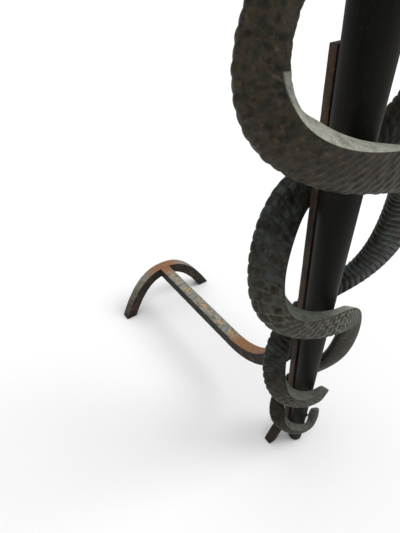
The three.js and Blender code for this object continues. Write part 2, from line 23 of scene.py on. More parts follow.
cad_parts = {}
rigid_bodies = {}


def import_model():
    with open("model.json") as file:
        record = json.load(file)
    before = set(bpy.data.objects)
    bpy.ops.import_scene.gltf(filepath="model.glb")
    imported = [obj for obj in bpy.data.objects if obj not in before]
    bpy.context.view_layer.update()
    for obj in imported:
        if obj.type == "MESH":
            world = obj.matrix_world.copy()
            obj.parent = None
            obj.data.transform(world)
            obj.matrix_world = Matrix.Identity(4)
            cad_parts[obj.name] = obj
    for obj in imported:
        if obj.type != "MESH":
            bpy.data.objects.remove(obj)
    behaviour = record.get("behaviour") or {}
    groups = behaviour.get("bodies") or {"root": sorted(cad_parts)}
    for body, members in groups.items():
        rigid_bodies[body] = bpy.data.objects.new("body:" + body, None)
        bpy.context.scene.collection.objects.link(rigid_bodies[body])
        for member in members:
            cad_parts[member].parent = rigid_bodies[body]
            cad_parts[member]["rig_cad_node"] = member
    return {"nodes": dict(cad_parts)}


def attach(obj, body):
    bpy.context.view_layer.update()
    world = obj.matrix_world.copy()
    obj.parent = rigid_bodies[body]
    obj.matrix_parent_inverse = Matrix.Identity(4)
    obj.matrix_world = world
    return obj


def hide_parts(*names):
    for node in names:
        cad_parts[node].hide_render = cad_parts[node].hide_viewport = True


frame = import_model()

MM = 0.001
ROOT = "root"
LOG = logging.getLogger("andiron")
Colour = tuple[float, float, float]
Curve = tuple[tuple[float, float], ...]
Station = tuple[tuple[float, float], tuple[float, float]]
Socket = bpy.types.NodeSocket
Piece = bpy.types.Object
Material = bpy.types.Material
Array = np.ndarray

# Sizes that the serpents share with the staff and the upright, in millimetres: the staff's
# radius at the hearth and how much it grows up to its top, its height, and the place of
# the upright's back along Y.
STAFF_FOOT = 11
STAFF_GROWTH = 13.5
STAFF_HEIGHT = 655
UPRIGHT_BACK = 20.5
# Room between two pieces that touch, and the distance at which points count as one.
SEAT_GAP = 0.3 * MM
TOUCHING = 1e-6


# ---------------------------------------------------------------- nodes
class Shade:
    """Builds one node material around a Principled shader."""

    def __init__(self, name: str) -> None:
        """Starts an empty node tree.

        Args:
            name: The material's name.
        """
        self.material = bpy.data.materials.new(name)
        self.material.use_nodes = True
        self.tree = self.material.node_tree
        self.tree.nodes.clear()
        self.shader = self.node("BsdfPrincipled")
        self.node("OutputMaterial", Surface=self.shader.outputs["BSDF"])
        self.place = self.node("TexCoord").outputs["Object"]

    def put(self, value: object, socket: Socket) -> None:
        """Links an output to a socket, or writes a plain value on it."""
        if isinstance(value, Socket):
            self.tree.links.new(value, socket)
        elif isinstance(value, tuple) and socket.type == "RGBA":
            socket.default_value = (*value, 1.0)
        else:
            socket.default_value = value

    def node(self, kind: str, **inputs: object) -> bpy.types.Node:
        """Adds a node.

        Args:
            kind: Its type, without the words that every type begins with.
            **inputs: Values or outputs for its sockets, with a low line for each space.

        Returns:
            The node.
        """
        node = self.tree.nodes.new(f"ShaderNode{kind}")
        for name, value in inputs.items():
            self.put(value, node.inputs[name.replace("_", " ")])
        return node

    def math(self, kind: str, first: object, second: object = 0.0, clamp: bool = False) -> Socket:
        """Returns the result of a Math node."""
        node = self.node("Math")
        node.operation = kind
        node.use_clamp = clamp
        self.put(first, node.inputs[0])
        self.put(second, node.inputs[1])
        return node.outputs[0]

    def times(self, product: object, *others: object) -> Socket:
        """Returns the product of some values."""
        for value in others:
            product = self.math("MULTIPLY", product, value)
        return product

    def mix(self, factor: object, first: object, second: object) -> Socket:
        """Returns a colour between two colours."""
        node = self.node("Mix")
        node.data_type = "RGBA"
        self.put(factor, node.inputs[0])
        self.put(first, node.inputs[6])
        self.put(second, node.inputs[7])
        return node.outputs[2]

    def stretch(self, scale: tuple[float, float, float]) -> Socket:
        """Returns the object's coordinates stretched along the axes."""
        return self.node("Mapping", Vector=self.place, Scale=scale).outputs["Vector"]

    def noise(
        self, scale: float, detail: float = 4.0, rough: float = 0.55, source: Socket | None = None
    ) -> Socket:
        """Returns a noise value around one half.

        Args:
            scale: Cells to the metre.
            detail: Octaves of finer noise.
            rough: Strength of the finer noise.
            source: Coordinates, or None for the object's own.

        Returns:
            The factor output.
        """
        place = source or self.place
        return self.node("TexNoise", Scale=scale, Detail=detail, Roughness=rough, Vector=place).outputs[0]

    def step(self, value: Socket, low: float, high: float, out: tuple[float, float] = (0.0, 1.0)) -> Socket:
        """Returns a smooth step of a value from low to high."""
        node = self.node("MapRange", Value=value, From_Min=low, From_Max=high, To_Min=out[0], To_Max=out[1])
        node.interpolation_type = "SMOOTHSTEP"
        return node.outputs["Result"]

    def attribute(self, name: str) -> Socket:
        """Returns a value painted on the piece's points."""
        node = self.node("Attribute")
        node.attribute_name = name
        return node.outputs["Fac"]

    def axis(self, name: str, source: Socket | None = None) -> Socket:
        """Returns one coordinate, X, Y or Z, of the object's place."""
        return self.node("SeparateXYZ", Vector=source or self.place).outputs[name]

    def upward(self) -> Socket:
        """Returns how far the surface looks up, from -1 to 1."""
        return self.axis("Z", self.node("NewGeometry").outputs["Normal"])

    def bump(self, height: Socket, strength: float, distance: float) -> None:
        """Roughens the surface by a height."""
        node = self.node("Bump", Strength=strength, Distance=distance, Height=height)
        self.put(node.outputs["Normal"], self.shader.inputs["Normal"])

    def surface(self, colour: object, roughness: object, metallic: float, specular: float) -> None:
        """Writes the shader's main sockets."""
        self.put(colour, self.shader.inputs["Base Color"])
        self.put(roughness, self.shader.inputs["Roughness"])
        self.put(metallic, self.shader.inputs["Metallic"])
        self.put(specular, self.shader.inputs["Specular IOR Level"])


# ---------------------------------------------------------------- finishes
@dataclass(frozen=True)
class ScaledBronze:
    """Patinated bronze of the serpents, tinted by the values painted on their points.

    Attributes:
        dark: Colour of the deep patina.
        olive: Colour of its lighter clouds.
        brown: Colour of the worn scales.
        tan: Colour of the wear on the scales' tops.
        verdigris_and_sheen: Blue-green on the scales' tops, partly a real patina film and partly a painted
            sheen of the light.
        line_brown: Colour of the grooves in brown places.
        line_pale: Colour of the grooves in pale places.
        face_green: Colour of the smooth faces.
        face_patina_and_highlight: Colour of the palest smooth face: grey patina with a painted highlight of the
            light falling on it.
    """

    dark: Colour = (0.0075, 0.0073, 0.0056)
    olive: Colour = (0.024, 0.0235, 0.0165)
    brown: Colour = (0.034, 0.024, 0.0135)
    tan: Colour = (0.085, 0.056, 0.034)
    verdigris_and_sheen: Colour = (0.062, 0.086, 0.082)
    line_brown: Colour = (0.085, 0.065, 0.038)
    line_pale: Colour = (0.26, 0.27, 0.215)
    face_green: Colour = (0.135, 0.15, 0.125)
    face_patina_and_highlight: Colour = (0.50, 0.51, 0.42)

    def make(self) -> Material:
        """Returns the material."""
        shade = Shade("scaled_bronze")
        cloud = shade.step(shade.noise(55, 5), 0.35, 0.72)
        fine = shade.noise(900, 3, 0.6)
        colour = shade.mix(cloud, self.dark, self.olive)
        brown = shade.attribute("brown")
        worn = shade.times(brown, shade.step(shade.noise(150, 4), 0.36, 0.62))
        colour = shade.mix(worn, colour, self.brown)
        tops = shade.math("MULTIPLY", worn, shade.attribute("top"), True)
        tops = shade.times(tops, shade.step(shade.noise(210, 3), 0.45, 0.7))
        colour = shade.mix(tops, colour, self.tan)
        # Blue-green on the scales' tops: partly a patina film, partly a painted sheen of the light.
        clouded = shade.step(shade.noise(75, 4), 0.4, 0.66)
        on_tops = shade.step(shade.attribute("top"), 0.0, 0.7, (0.25, 1.0))
        film = shade.times(shade.attribute("film"), clouded, on_tops)
        colour = shade.mix(film, colour, self.verdigris_and_sheen)
        line = shade.mix(shade.attribute("pale"), self.line_brown, self.line_pale)
        groove = shade.times(shade.attribute("groove"), shade.step(shade.noise(200, 3), 0.3, 0.55))
        colour = shade.mix(groove, colour, line)
        # Smooth faces: grey-green patina that turns paler where the pale tint is high; that paleness is partly
        # patina and partly a painted highlight of the light on the face.
        face = shade.mix(shade.step(shade.attribute("pale"), 0.35, 1.0), self.face_green, self.face_patina_and_highlight)
        speck = shade.step(fine, 0.3, 0.72, (0.45, 1.0))
        blotch = shade.step(shade.noise(120, 5, 0.6), 0.3, 0.6, (0.5, 1.0))
        mask = shade.times(speck, blotch, shade.attribute("face"))
        colour = shade.mix(mask, colour, face)
        shade.surface(colour, shade.step(cloud, 0, 1, (0.42, 0.56)), 0.0, 0.15)
        grit = shade.math("ADD", shade.noise(420, 4, 0.65), shade.times(fine, 0.35))
        shade.bump(grit, 0.32, 0.0011)
        return shade.material


@dataclass(frozen=True)
class SmoothBronze:
    """Patinated bronze of the plain castings, streaked along their height.

    Attributes:
        dark: Colour of the deep patina.
        light: Colour of its streaks.
        worn: Colour of the rubbed places.
    """

    dark: Colour = (0.0042, 0.0041, 0.0030)
    light: Colour = (0.0120, 0.0108, 0.0072)
    worn: Colour = (0.032, 0.025, 0.0155)

    def make(self) -> Material:
        """Returns the material."""
        shade = Shade("smooth_bronze")
        streaks = shade.noise(60, 5, 0.6, shade.stretch((1.0, 1.0, 0.12)))
        colour = shade.mix(shade.step(streaks, 0.32, 0.72), self.dark, self.light)
        spots = shade.step(shade.noise(190, 5, 0.7), 0.58, 0.74)
        colour = shade.mix(shade.times(spots, 0.55), colour, self.worn)
        shade.surface(colour, shade.step(streaks, 0.3, 0.7, (0.45, 0.6)), 0.0, 0.08)
        shade.bump(shade.math("ADD", shade.noise(330, 5, 0.65), streaks), 0.22, 0.0009)
        return shade.material


@dataclass(frozen=True)
class ForgedIron:
    """Hammered iron: grey on its upward faces, dark on its sides and brown where it rusts.

    Attributes:
        name: The material's name.
        side: Colour of the dark scale on sides and undersides.
        side_rust: Colour of the rust on them.
        top: Colour of the upward faces.
        top_dark: Colour of the stains on them.
        rust: Colour of the rusty stretches.
        rust_dark: Colour of their dark spots.
        rust_light: Colour of their dusty spots.
        speck: Colour of the specks along the top's middle.
        rust_from: Where rust sets in again towards the rear, in metres along Y.
        rust_to: Where the front rust ends, in metres along Y.
    """

    name: str
    side: Colour = (0.0105, 0.0095, 0.0075)
    side_rust: Colour = (0.048, 0.029, 0.018)
    top: Colour = (0.235, 0.245, 0.215)
    top_dark: Colour = (0.12, 0.118, 0.10)
    rust: Colour = (0.31, 0.155, 0.075)
    rust_dark: Colour = (0.10, 0.055, 0.035)
    rust_light: Colour = (0.36, 0.26, 0.18)
    speck: Colour = (0.68, 0.36, 0.08)
    rust_from: float = 0.412
    rust_to: float = 0.178

    def make(self) -> Material:
        """Returns the material."""
        shade = Shade(self.name)
        broad = shade.noise(70, 5, 0.6)
        fine = shade.noise(620, 4, 0.65)
        flecks = shade.step(fine, 0.57, 0.7)
        side = shade.mix(shade.step(broad, 0.45, 0.7), self.side, self.side_rust)
        side = shade.mix(shade.times(flecks, 0.4), side, self.rust)
        drift = shade.times(shade.math("SUBTRACT", broad, 0.5), 0.05)
        along = shade.math("ADD", shade.axis("Y"), drift)
        front = shade.step(along, self.rust_to - 0.02, self.rust_to + 0.012, (1.0, 0.0))
        rear = shade.step(along, self.rust_from - 0.008, self.rust_from + 0.012)
        rear = shade.times(rear, shade.step(self.distance(shade), 0.016, 0.05, (1.0, 0.22)))
        rusty = shade.math("MAXIMUM", front, rear)
        stain = shade.step(shade.noise(110, 5, 0.65), 0.42, 0.66)
        top = shade.mix(stain, self.top, self.top_dark)
        top = shade.mix(self.speckle(shade), top, self.speck)
        brown = shade.mix(shade.step(fine, 0.42, 0.68), self.rust, self.rust_dark)
        dust = shade.times(shade.step(shade.noise(480, 2), 0.62, 0.7), 0.6)
        brown = shade.mix(dust, brown, self.rust_light)
        top = shade.mix(rusty, top, brown)
        # Grey on the upward faces, dark on the sides and undersides.
        colour = shade.mix(shade.step(shade.upward(), 0.35, 0.8), side, top)
        shade.surface(colour, 0.66, 0.0, 0.2)
        pits = shade.math("ADD", shade.noise(260, 5, 0.7), shade.times(fine, 0.5))
        shade.bump(pits, 0.5, 0.0012)
        return shade.material

    @staticmethod
    def distance(shade: Shade) -> Socket:
        """Returns the distance from the middle plane, in metres."""
        return shade.math("ABSOLUTE", shade.axis("X"))

    def speckle(self, shade: Shade) -> Socket:
        """Returns the mask of the bright specks along the middle of the top."""
        near = shade.step(self.distance(shade), 0.002, 0.0072, (1.0, 0.0))
        groups = shade.step(shade.noise(38, 2, 0.5), 0.43, 0.57)
        grains = shade.step(shade.noise(330, 3, 0.6), 0.49, 0.57)
        return shade.times(groups, grains, near)


@dataclass(frozen=True)
class WornIron:
    """Brown iron of the upright, the small foot, the screws and the rivets.

    Attributes:
        name: The material's name.
        dark: Colour of the black scale.
        rust: Colour of the rust film.
        bright: Colour of its fresh spots.
        film: Share of the rust film.
    """

    name: str
    dark: Colour = (0.017, 0.0145, 0.011)
    rust: Colour = (0.060, 0.036, 0.024)
    bright: Colour = (0.13, 0.078, 0.05)
    film: float = 1.0

    def make(self) -> Material:
        """Returns the material."""
        shade = Shade(self.name)
        broad = shade.noise(85, 5, 0.6, shade.stretch((1.0, 1.0, 0.35)))
        film = shade.times(shade.step(broad, 0.3, 0.62), self.film)
        colour = shade.mix(film, self.dark, self.rust)
        spots = shade.times(shade.step(shade.noise(340, 4, 0.6), 0.55, 0.7), self.film)
        colour = shade.mix(shade.times(spots, 0.6), colour, self.bright)
        shade.surface(colour, 0.68, 0.0, 0.18)
        shade.bump(shade.noise(300, 5, 0.7), 0.4, 0.001)
        return shade.material


@dataclass(frozen=True)
class Eye:
    """Dark polished bead of a serpent's eye.

    Attributes:
        dark: Colour of the bead.
        light: Colour of its clouds.
    """

    dark: Colour = (0.02, 0.013, 0.008)
    light: Colour = (0.05, 0.03, 0.016)

    def make(self) -> Material:
        """Returns the material."""
        shade = Shade("eye_bead")
        colour = shade.mix(shade.step(shade.noise(500, 3), 0.4, 0.7), self.dark, self.light)
        shade.surface(colour, 0.22, 0.2, 0.5)
        return shade.material


# ---------------------------------------------------------------- modelling helpers
def start_mesh() -> None:
    """Leaves edit mode and deselects everything."""
    if bpy.context.object and bpy.context.object.mode != "OBJECT":
        bpy.ops.object.mode_set(mode="OBJECT")
    bpy.ops.object.select_all(action="DESELECT")


def put_in_scene(name: str, data: bpy.types.ID) -> Piece:
    """Returns a new object for a mesh, a camera or a lamp, linked to the scene."""
    thing = bpy.data.objects.new(name, data)
    bpy.context.scene.collection.objects.link(thing)
    return thing


def settle(piece: Piece, name: str) -> Piece:
    """Puts a piece's place into its mesh, with its object at the origin.

    Args:
        piece: The piece.
        name: Its new name.

    Returns:
        The same piece.
    """
    start_mesh()
    piece.name = name
    piece.data.name = name
    piece.select_set(True)
    bpy.context.view_layer.objects.active = piece
    bpy.ops.object.transform_apply(location=True, rotation=True, scale=True)
    return piece


@contextmanager
def editing(piece: Piece) -> Iterator[None]:
    """Keeps a piece in edit mode for a while."""
    bpy.context.view_layer.objects.active = piece
    bpy.ops.object.mode_set(mode="EDIT")
    yield
    bpy.ops.object.mode_set(mode="OBJECT")


def clean(piece: Piece) -> None:
    """Merges a piece's doubles and turns its faces outwards."""
    with editing(piece):
        bpy.ops.mesh.select_all(action="SELECT")
        bpy.ops.mesh.remove_doubles(threshold=TOUCHING)
        bpy.ops.mesh.normals_make_consistent(inside=False)


def apply(piece: Piece, kind: str, **values: object) -> None:
    """Adds a modifier and applies it.

    Args:
        piece: The piece.
        kind: The modifier's type.
        **values: Its settings.
    """
    bpy.context.view_layer.objects.active = piece
    modifier = piece.modifiers.new(kind.lower(), kind)
    for key, value in values.items():
        setattr(modifier, key, value)
    bpy.ops.object.modifier_apply(modifier=modifier.name)


def smooth_shade(piece: Piece, angle: float = 40.0) -> None:
    """Shades a piece smooth, with its sharp edges kept."""
    start_mesh()
    piece.select_set(True)
    bpy.context.view_layer.objects.active = piece
    bpy.ops.object.shade_smooth_by_angle(angle=math.radians(angle))


def dress(piece: Piece, material: Material, slot: str, *nodes: str) -> None:
    """Gives a piece its finish, its body and the nodes that it stands for.

    Args:
        piece: The piece.
        material: Its finish.
        slot: Not used.
        *nodes: The frame's nodes that it replaces.
    """
    piece.data.materials.clear()
    piece.data.materials.append(material)
    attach(piece, ROOT)
    if nodes:
        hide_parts(*nodes)
    LOG.info("%s: %d faces", piece.name, len(piece.data.polygons))


def roughen(piece: Piece, depth: float, size: float, seed: int) -> None:
    """Makes a forged surface uneven by moving its points along their normals.

    Args:
        piece: The piece, with points close enough together to carry the unevenness.
        depth: The most that a point moves, in metres.
        size: The length of a swell, in metres.
        seed: Moves the pattern.
    """
    mesh = piece.data
    count = len(mesh.vertices)
    place = np.empty(count * 3)
    normal = np.empty(count * 3)
    mesh.vertices.foreach_get("co", place)
    mesh.vertices.foreach_get("normal", normal)
    place = place.reshape(-1, 3)
    swell = np.zeros(count)
    rng = np.random.default_rng(seed)
    for octave in range(4):
        turn = rng.normal(size=(3, 3))
        waves = place @ turn * (2.2 ** octave / size) + rng.uniform(0, 6, 3)
        swell += np.sin(waves).prod(axis=1) / 1.7 ** octave
    moved = place + normal.reshape(-1, 3) * (depth * swell)[:, None]
    mesh.vertices.foreach_set("co", moved.ravel())
    mesh.update()


# ---------------------------------------------------------------- serpents
def smooth(knots: Sequence[float], place: Array) -> Array:
    """Reads a smooth curve through evenly spaced knots.

    Args:
        knots: The values at 0, 1, 2 and so on.
        place: Where to read it.

    Returns:
        The values, carried on in a straight line beyond the ends.
    """
    values = np.asarray(knots, float)
    padded = np.concatenate([[2 * values[0] - values[1]], values, [2 * values[-1] - values[-2]]])
    cell = np.clip(np.floor(place), 0, len(values) - 2).astype(int)
    t = np.clip(place - cell, 0, 1)
    past = place - cell - t
    before, start, end, after = (padded[cell + k] for k in range(4))
    rise, fall = (end - before) / 2, (after - start) / 2
    inside = start * (2 * t**3 - 3 * t**2 + 1) + rise * (t**3 - 2 * t**2 + t)
    inside += end * (3 * t**2 - 2 * t**3) + fall * (t**3 - t**2)
    return inside + past * np.where(past < 0, rise, fall)


def smoothstep(value: Array, low: float, high: float) -> Array:
    """Returns a smooth step from 0 at low to 1 at high."""
    t = np.clip((value - low) / (high - low), 0, 1)
    return t * t * (3 - 2 * t)


def hill(value: Array, place: float, width: float) -> Array:
    """Returns a bell curve that is 1 at a place."""
    return np.exp(-(((value - place) / width) ** 2))


def read(curve: Curve, level: Array) -> Array:
    """Returns a painted value for each ring of points."""
    return np.interp(level, *zip(*curve))[:, None]


def staff_radius(height: Array) -> Array:
    """Returns the staff's radius at a height, in millimetres."""
    return STAFF_FOOT + STAFF_GROWTH * height / STAFF_HEIGHT


def unit(vectors: Array) -> Array:
    """Returns vectors of length one."""
    return vectors / np.linalg.norm(vectors, axis=-1, keepdims=True)


class Pattern(Enum):
    """The forms of the scales."""

    RIBS = "plain bands across the body"
    FOLDS = "uneven bands across the body"
    NET = "rows of squarish scales"
    DIAMOND = "slanted net"
    OVAL = "hammered ovals"


@dataclass(frozen=True)
class Scales:
    """One kind of scale on a stretch of a serpent, in millimetres.

    Attributes:
        start: Level at which it begins.
        pattern: Its form.
        along: Size of a scale along the body.
        across: Size of a scale across the body.
        height: Height of a scale.
        groove: Half width of the groove between two.
        lean: Slant of the rows.
    """

    start: float
    pattern: Pattern
    along: float
    across: float = 8.0
    height: float = 0.8
    groove: float = 0.8
    lean: float = 0.0

    def relief(self, s: Array, a: Array) -> tuple[Array, Array]:
        """Returns the height of the scales, and a mask of the grooves.

        Args:
            s: Distance along the body.
            a: Distance across it, from the middle of its outer side.

        Returns:
            Two arrays of the same shape as a.
        """
        if self.pattern is Pattern.DIAMOND:
            first, second = s / self.along + a / self.across, s / self.along - a / self.across
        else:
            swing = 0.0
            if self.pattern is Pattern.FOLDS:
                swing = 1.6 * np.sin(a / 6.0 + 1.3 * np.sin(s / 13.0)) + 0.9 * np.sin(a / 2.9 + s / 9.0)
            first = (s + swing + self.lean * a + 0.012 * a * a) / self.along
            second = a / self.across + 0.5 * (np.floor(first) % 2) + 0.18 * np.sin(s / 17.0)
        cells = [part - np.floor(part) for part in (first, second)]
        near = [(0.5 - np.abs(cell - 0.5)) * size for cell, size in zip(cells, (self.along, self.across))]
        dome = [np.sin(np.pi * cell) for cell in cells]
        if self.pattern in (Pattern.RIBS, Pattern.FOLDS):
            near[1] = np.full_like(near[0], np.inf)
            dome[1] = np.ones_like(dome[0])
        flat = [1 - np.exp(-((distance / self.groove) ** 2)) for distance in near]
        plateau = flat[0] * flat[1]
        share = 0.75 if self.pattern is Pattern.OVAL else 0.45
        height = self.height * ((1 - share) * plateau + share * dome[0] * dome[1] - 0.5)
        return height, 1 - plateau


@dataclass
class Serpent:
    """One of the two serpents, built along the same loops as its castings in the frame.

    Attributes:
        name: Name of its pieces.
        side: 1 if it crosses in front of the staff at even levels, -1 at odd ones.
        tail: Level of its tail's end.
        parts: Name of each casting, and the levels that it runs between.
        scales: The scales from the tail up.
        brown: Level and strength of the brown wear.
        film: Level and strength of the blue-green on the scales' tops, partly a patina film and partly a
            painted sheen of the light.
        pale: Level and strength of the pale tint of faces and grooves; on the faces it is partly a painted
            highlight.
        line: Level and strength of the tinted grooves.
        heights: Heights of the crossings, from the lowest up.
        half_widths: Half widths of the loops.
        width_share: Their share on the left and on the right.
        thickness: Size from the smooth face to the outer side, at every half level.
        depth: Size from edge to edge, at every half level.
        roundness: How level the body lies at a crossing, on the left and on the right.
        height_skew: How far the rear crossings lead.
        width_skew: How far the widest places move up, on the left and on the right.
        depth_skew: The same for the body's way from front to rear.
        rear_drop: How far the body drops behind the staff, in levels.
        bulge_rearward: How far the widest places move rearwards.
        clearance: Room before the staff and behind the upright.
        twists: Twist at the widest places, and its part that changes with the side.
        lean: How far the smooth face leans back at the front crossings, in degrees.
        tail_turn: Size of the level turn round the foot, in levels.
        tail_taper: Length of the tail's taper, in levels.
        tail_tip: Share of the section that is left at its end.
        crown_levels: Levels between which the body straightens out for the neck.
        head_levels: Levels of the head's start and end.
        jaw: Place of the jaw along the head.
        head_swell: How much wider and higher the head is there.
        snout: Share of the head that is lost at the snout.
        head_bare: Share of the scales' height that is lost on the head.
        face_crown: Share of the thickness that the smooth face is crowned by.
        ridge: Width of the bare strip along the smooth face's edges.
        full_relief: Thickness from which the scales have their full height.
        eye_radius: Radius of an eye.
        eye_seat: Place of the eyes along, across and up the head.
        ring_pitch: Distance between two rings of points.
        nose_points: Points of a ring on the outer side.
        face_points: Points of a ring on the smooth face.
    """

    name: str
    side: int
    tail: float
    parts: tuple[tuple[str, float, float], ...]
    scales: tuple[Scales, ...]
    brown: Curve
    film: Curve
    pale: Curve
    line: Curve
    heights: tuple[float, ...] = (50, 145, 314, 517, 745)
    half_widths: tuple[float, ...] = (39.5, 58.5, 90, 113)
    width_share: tuple[float, float] = (1, 0.93)
    thickness: tuple[float, ...] = (13, 23, 22, 30, 29, 38, 42, 43, 30)
    depth: tuple[float, ...] = (10, 15, 13, 23, 16, 30.5, 34, 30, 27)
    roundness: tuple[float, float] = (0.26, 0.75)
    height_skew: float = 0.1
    width_skew: tuple[float, float] = (0.087, -0.092)
    depth_skew: tuple[float, float] = (0.047, 0.216)
    rear_drop: float = 0.22
    bulge_rearward: float = 7.6
    clearance: tuple[float, float] = (3.6, 5.8)
    twists: tuple[float, float] = (29.0, 15.0)
    lean: tuple[float, ...] = (5, 11, 26, 8, 0)
    tail_turn: float = 0.12
    tail_taper: float = 0.1
    tail_tip: float = 0.7
    crown_levels: tuple[float, float] = (3.25, 3.8)
    head_levels: tuple[float, float] = (3.7, 3.9)
    jaw: float = 0.42
    head_swell: tuple[float, float] = (0.55, 0.12)
    snout: float = 0.58
    head_bare: float = 0.55
    face_crown: float = 0.06
    ridge: float = 2.2
    full_relief: float = 20.0
    eye_radius: float = 3.6
    eye_seat: tuple[float, float, float] = (0.55, 0.86, 0.27)
    ring_pitch: float = 0.8
    nose_points: int = 49
    face_points: int = 14

    def blend(self, level: Array) -> Array:
        """Returns how far the crown's form has set in at a level."""
        return smoothstep(level, *self.crown_levels)

    def leftward(self, level: Array) -> Array:
        """Returns 1 at the widest places on the left, and -1 on the right."""
        return self.side * np.sin(np.pi * level) * (1 - self.blend(level))

    def sided(self, pair: tuple[float, float], level: Array) -> Array:
        """Returns a value between its left and its right one."""
        left, right = pair
        return (left + right) / 2 + (left - right) / 2 * self.leftward(level)

    def front_lean(self, level: Array) -> Array:
        """Returns the angle that the smooth face leans back near a front crossing."""
        ahead = ((1 + self.side * np.cos(np.pi * level)) / 2) ** 2
        return np.radians(smooth(self.lean, np.abs(level))) * ahead * (1 - self.blend(level))

    def height(self, level: Array) -> Array:
        """Returns the height of the body's middle line."""
        lifted = np.where(level < 0.5, np.hypot(level, self.tail_turn), level)
        apart = 1 - self.blend(level)
        eased = lifted - self.sided(self.roundness, level) * np.sin(2 * np.pi * lifted) / (2 * np.pi)
        skewed = eased - self.height_skew * self.side * np.sin(np.pi * lifted) * apart / np.pi
        behind = (1 - self.side * np.cos(np.pi * lifted) * apart) / 2
        return smooth(self.heights, skewed - self.rear_drop * behind)

    def centre(self, level: Array) -> Array:
        """Returns the body's middle line at some levels, in millimetres."""
        z = self.height(level)
        lean = self.front_lean(level)
        half = smooth(self.depth[::2], np.abs(level)) / 2
        half_thick = smooth(self.thickness[::2], np.abs(level)) / 2
        leaning = np.hypot(half * np.cos(lean), half_thick * np.sin(lean))
        edge = z + smooth(self.thickness, 2 * np.abs(level)) / 2
        front = STAFF_FOOT - 2 * staff_radius(edge) - self.clearance[0] - leaning
        back = UPRIGHT_BACK + self.clearance[1] + half
        skew = self.leftward(level)
        swing = np.cos(np.pi * (level - self.sided(self.depth_skew, level) * skew)) * self.side
        reach = np.sin(np.pi * (level + self.sided(self.width_skew, level) * skew))
        bulge = self.bulge_rearward * np.sin(np.pi * level) ** 2
        turned = (front + back) / 2 + swing * (front - back) / 2 + bulge
        middle = STAFF_FOOT - staff_radius(z)
        y = turned + (middle - turned) * self.blend(level)
        width = smooth(self.half_widths, np.abs(level) - 0.5) * self.sided(self.width_share, level)
        return np.stack([-self.side * width * reach, y, z], axis=-1)

    def frames(self, level: Array) -> tuple[Array, Array, Array]:
        """Returns the way to the tail, to the front edge and out of the smooth face."""
        step = 0.01
        tangent = unit(self.centre(level - step) - self.centre(level + step))
        ahead = np.array([0.0, -1.0, 0.0])
        front = unit(ahead - tangent * (tangent @ ahead)[:, None])
        bulge = np.sin(np.pi * level)
        broad, sided = np.radians(self.twists)
        apart = 1 - self.blend(level)
        twist = (broad * bulge**2 + sided * self.side * bulge) * apart - self.front_lean(level)
        turned = front * np.cos(twist)[:, None] + np.cross(tangent, front) * np.sin(twist)[:, None]
        return tangent, turned, np.cross(turned, tangent)

    def size(self, level: Array) -> Array:
        """Returns the share of the full section that is left towards the tail's end."""
        left = np.clip((level - self.tail) / self.tail_taper, 0, 1)
        return self.tail_tip + (1 - self.tail_tip) * np.sqrt(left)

    def head_shape(self, level: Array) -> tuple[Array, Array, Array]:
        """Returns how far along the head a level is, and the head's width and height there."""
        start, end = self.head_levels
        along = np.clip((level - start) / (end - start), 0, 1)
        swell = smoothstep(along, 0, self.jaw)
        taper = np.clip((along - self.jaw) / (1 - self.jaw), 0, 1)
        width = (1 + self.head_swell[0] * swell) * (1 - self.snout * taper**1.8)
        height = (1 + self.head_swell[1] * swell) * (1 - self.snout * taper**2.4)
        return along, width, height

    def distance(self, level: Array) -> Array:
        """Returns the length of the body from level -1 to some levels."""
        grid = np.linspace(-1, 4, 2000)
        run = np.linalg.norm(np.diff(self.centre(grid), axis=0), axis=1)
        return np.interp(level, grid, np.concatenate([[0], np.cumsum(run)]))

    def section(self, level: Array) -> tuple[Array, Array, Array]:
        """Returns the plain rings of points, their middle line and a mask of the smooth face."""
        centre = self.centre(level)
        _, front, flat = self.frames(level)
        blend = self.blend(level)[:, None]
        crown = self.face_crown + (1 - self.face_crown) * blend
        edge = (1 - crown) / 2
        nose = np.linspace(0, np.pi, self.nose_points)
        face = np.pi + np.pi * np.arange(1, self.face_points + 1) / (self.face_points + 1)
        angle = np.concatenate([nose, face])[None, :]
        is_face = (angle > np.pi + 1e-9).astype(float)
        swell = np.where(is_face > 0, 0.5 - edge, 0.5 + edge)
        up = edge - swell * np.sin(angle)
        across = np.cos(angle) * np.ones_like(up)
        size = self.size(level)
        _, width, height = self.head_shape(level)
        deep = smooth(self.depth, 2 * np.abs(level)) * size * width / 2
        thick = smooth(self.thickness, 2 * np.abs(level)) * size * height
        rings = centre[:, None, :] + front[:, None, :] * (across * deep[:, None])[..., None]
        rings = rings + flat[:, None, :] * (up * thick[:, None])[..., None]
        return rings, centre, is_face * (1 - blend)

    def relief(self, level: Array, s: Array, a: Array) -> tuple[Array, Array]:
        """Returns the height of the scales and the mask of the grooves, blended between kinds."""
        height, groove = np.zeros_like(a), np.zeros_like(a)
        starts = [scale.start for scale in self.scales]
        ramp = 0.05
        share = [smoothstep(level, start - ramp, start + ramp) for start in starts]
        share[0] = np.ones_like(level)
        share.append(np.zeros_like(level))
        for index, scale in enumerate(self.scales):
            weight = share[index] * (1 - share[index + 1])
            part, line = scale.relief(s, a)
            height += part * weight[:, None]
            groove += line * weight[:, None]
        return height, groove

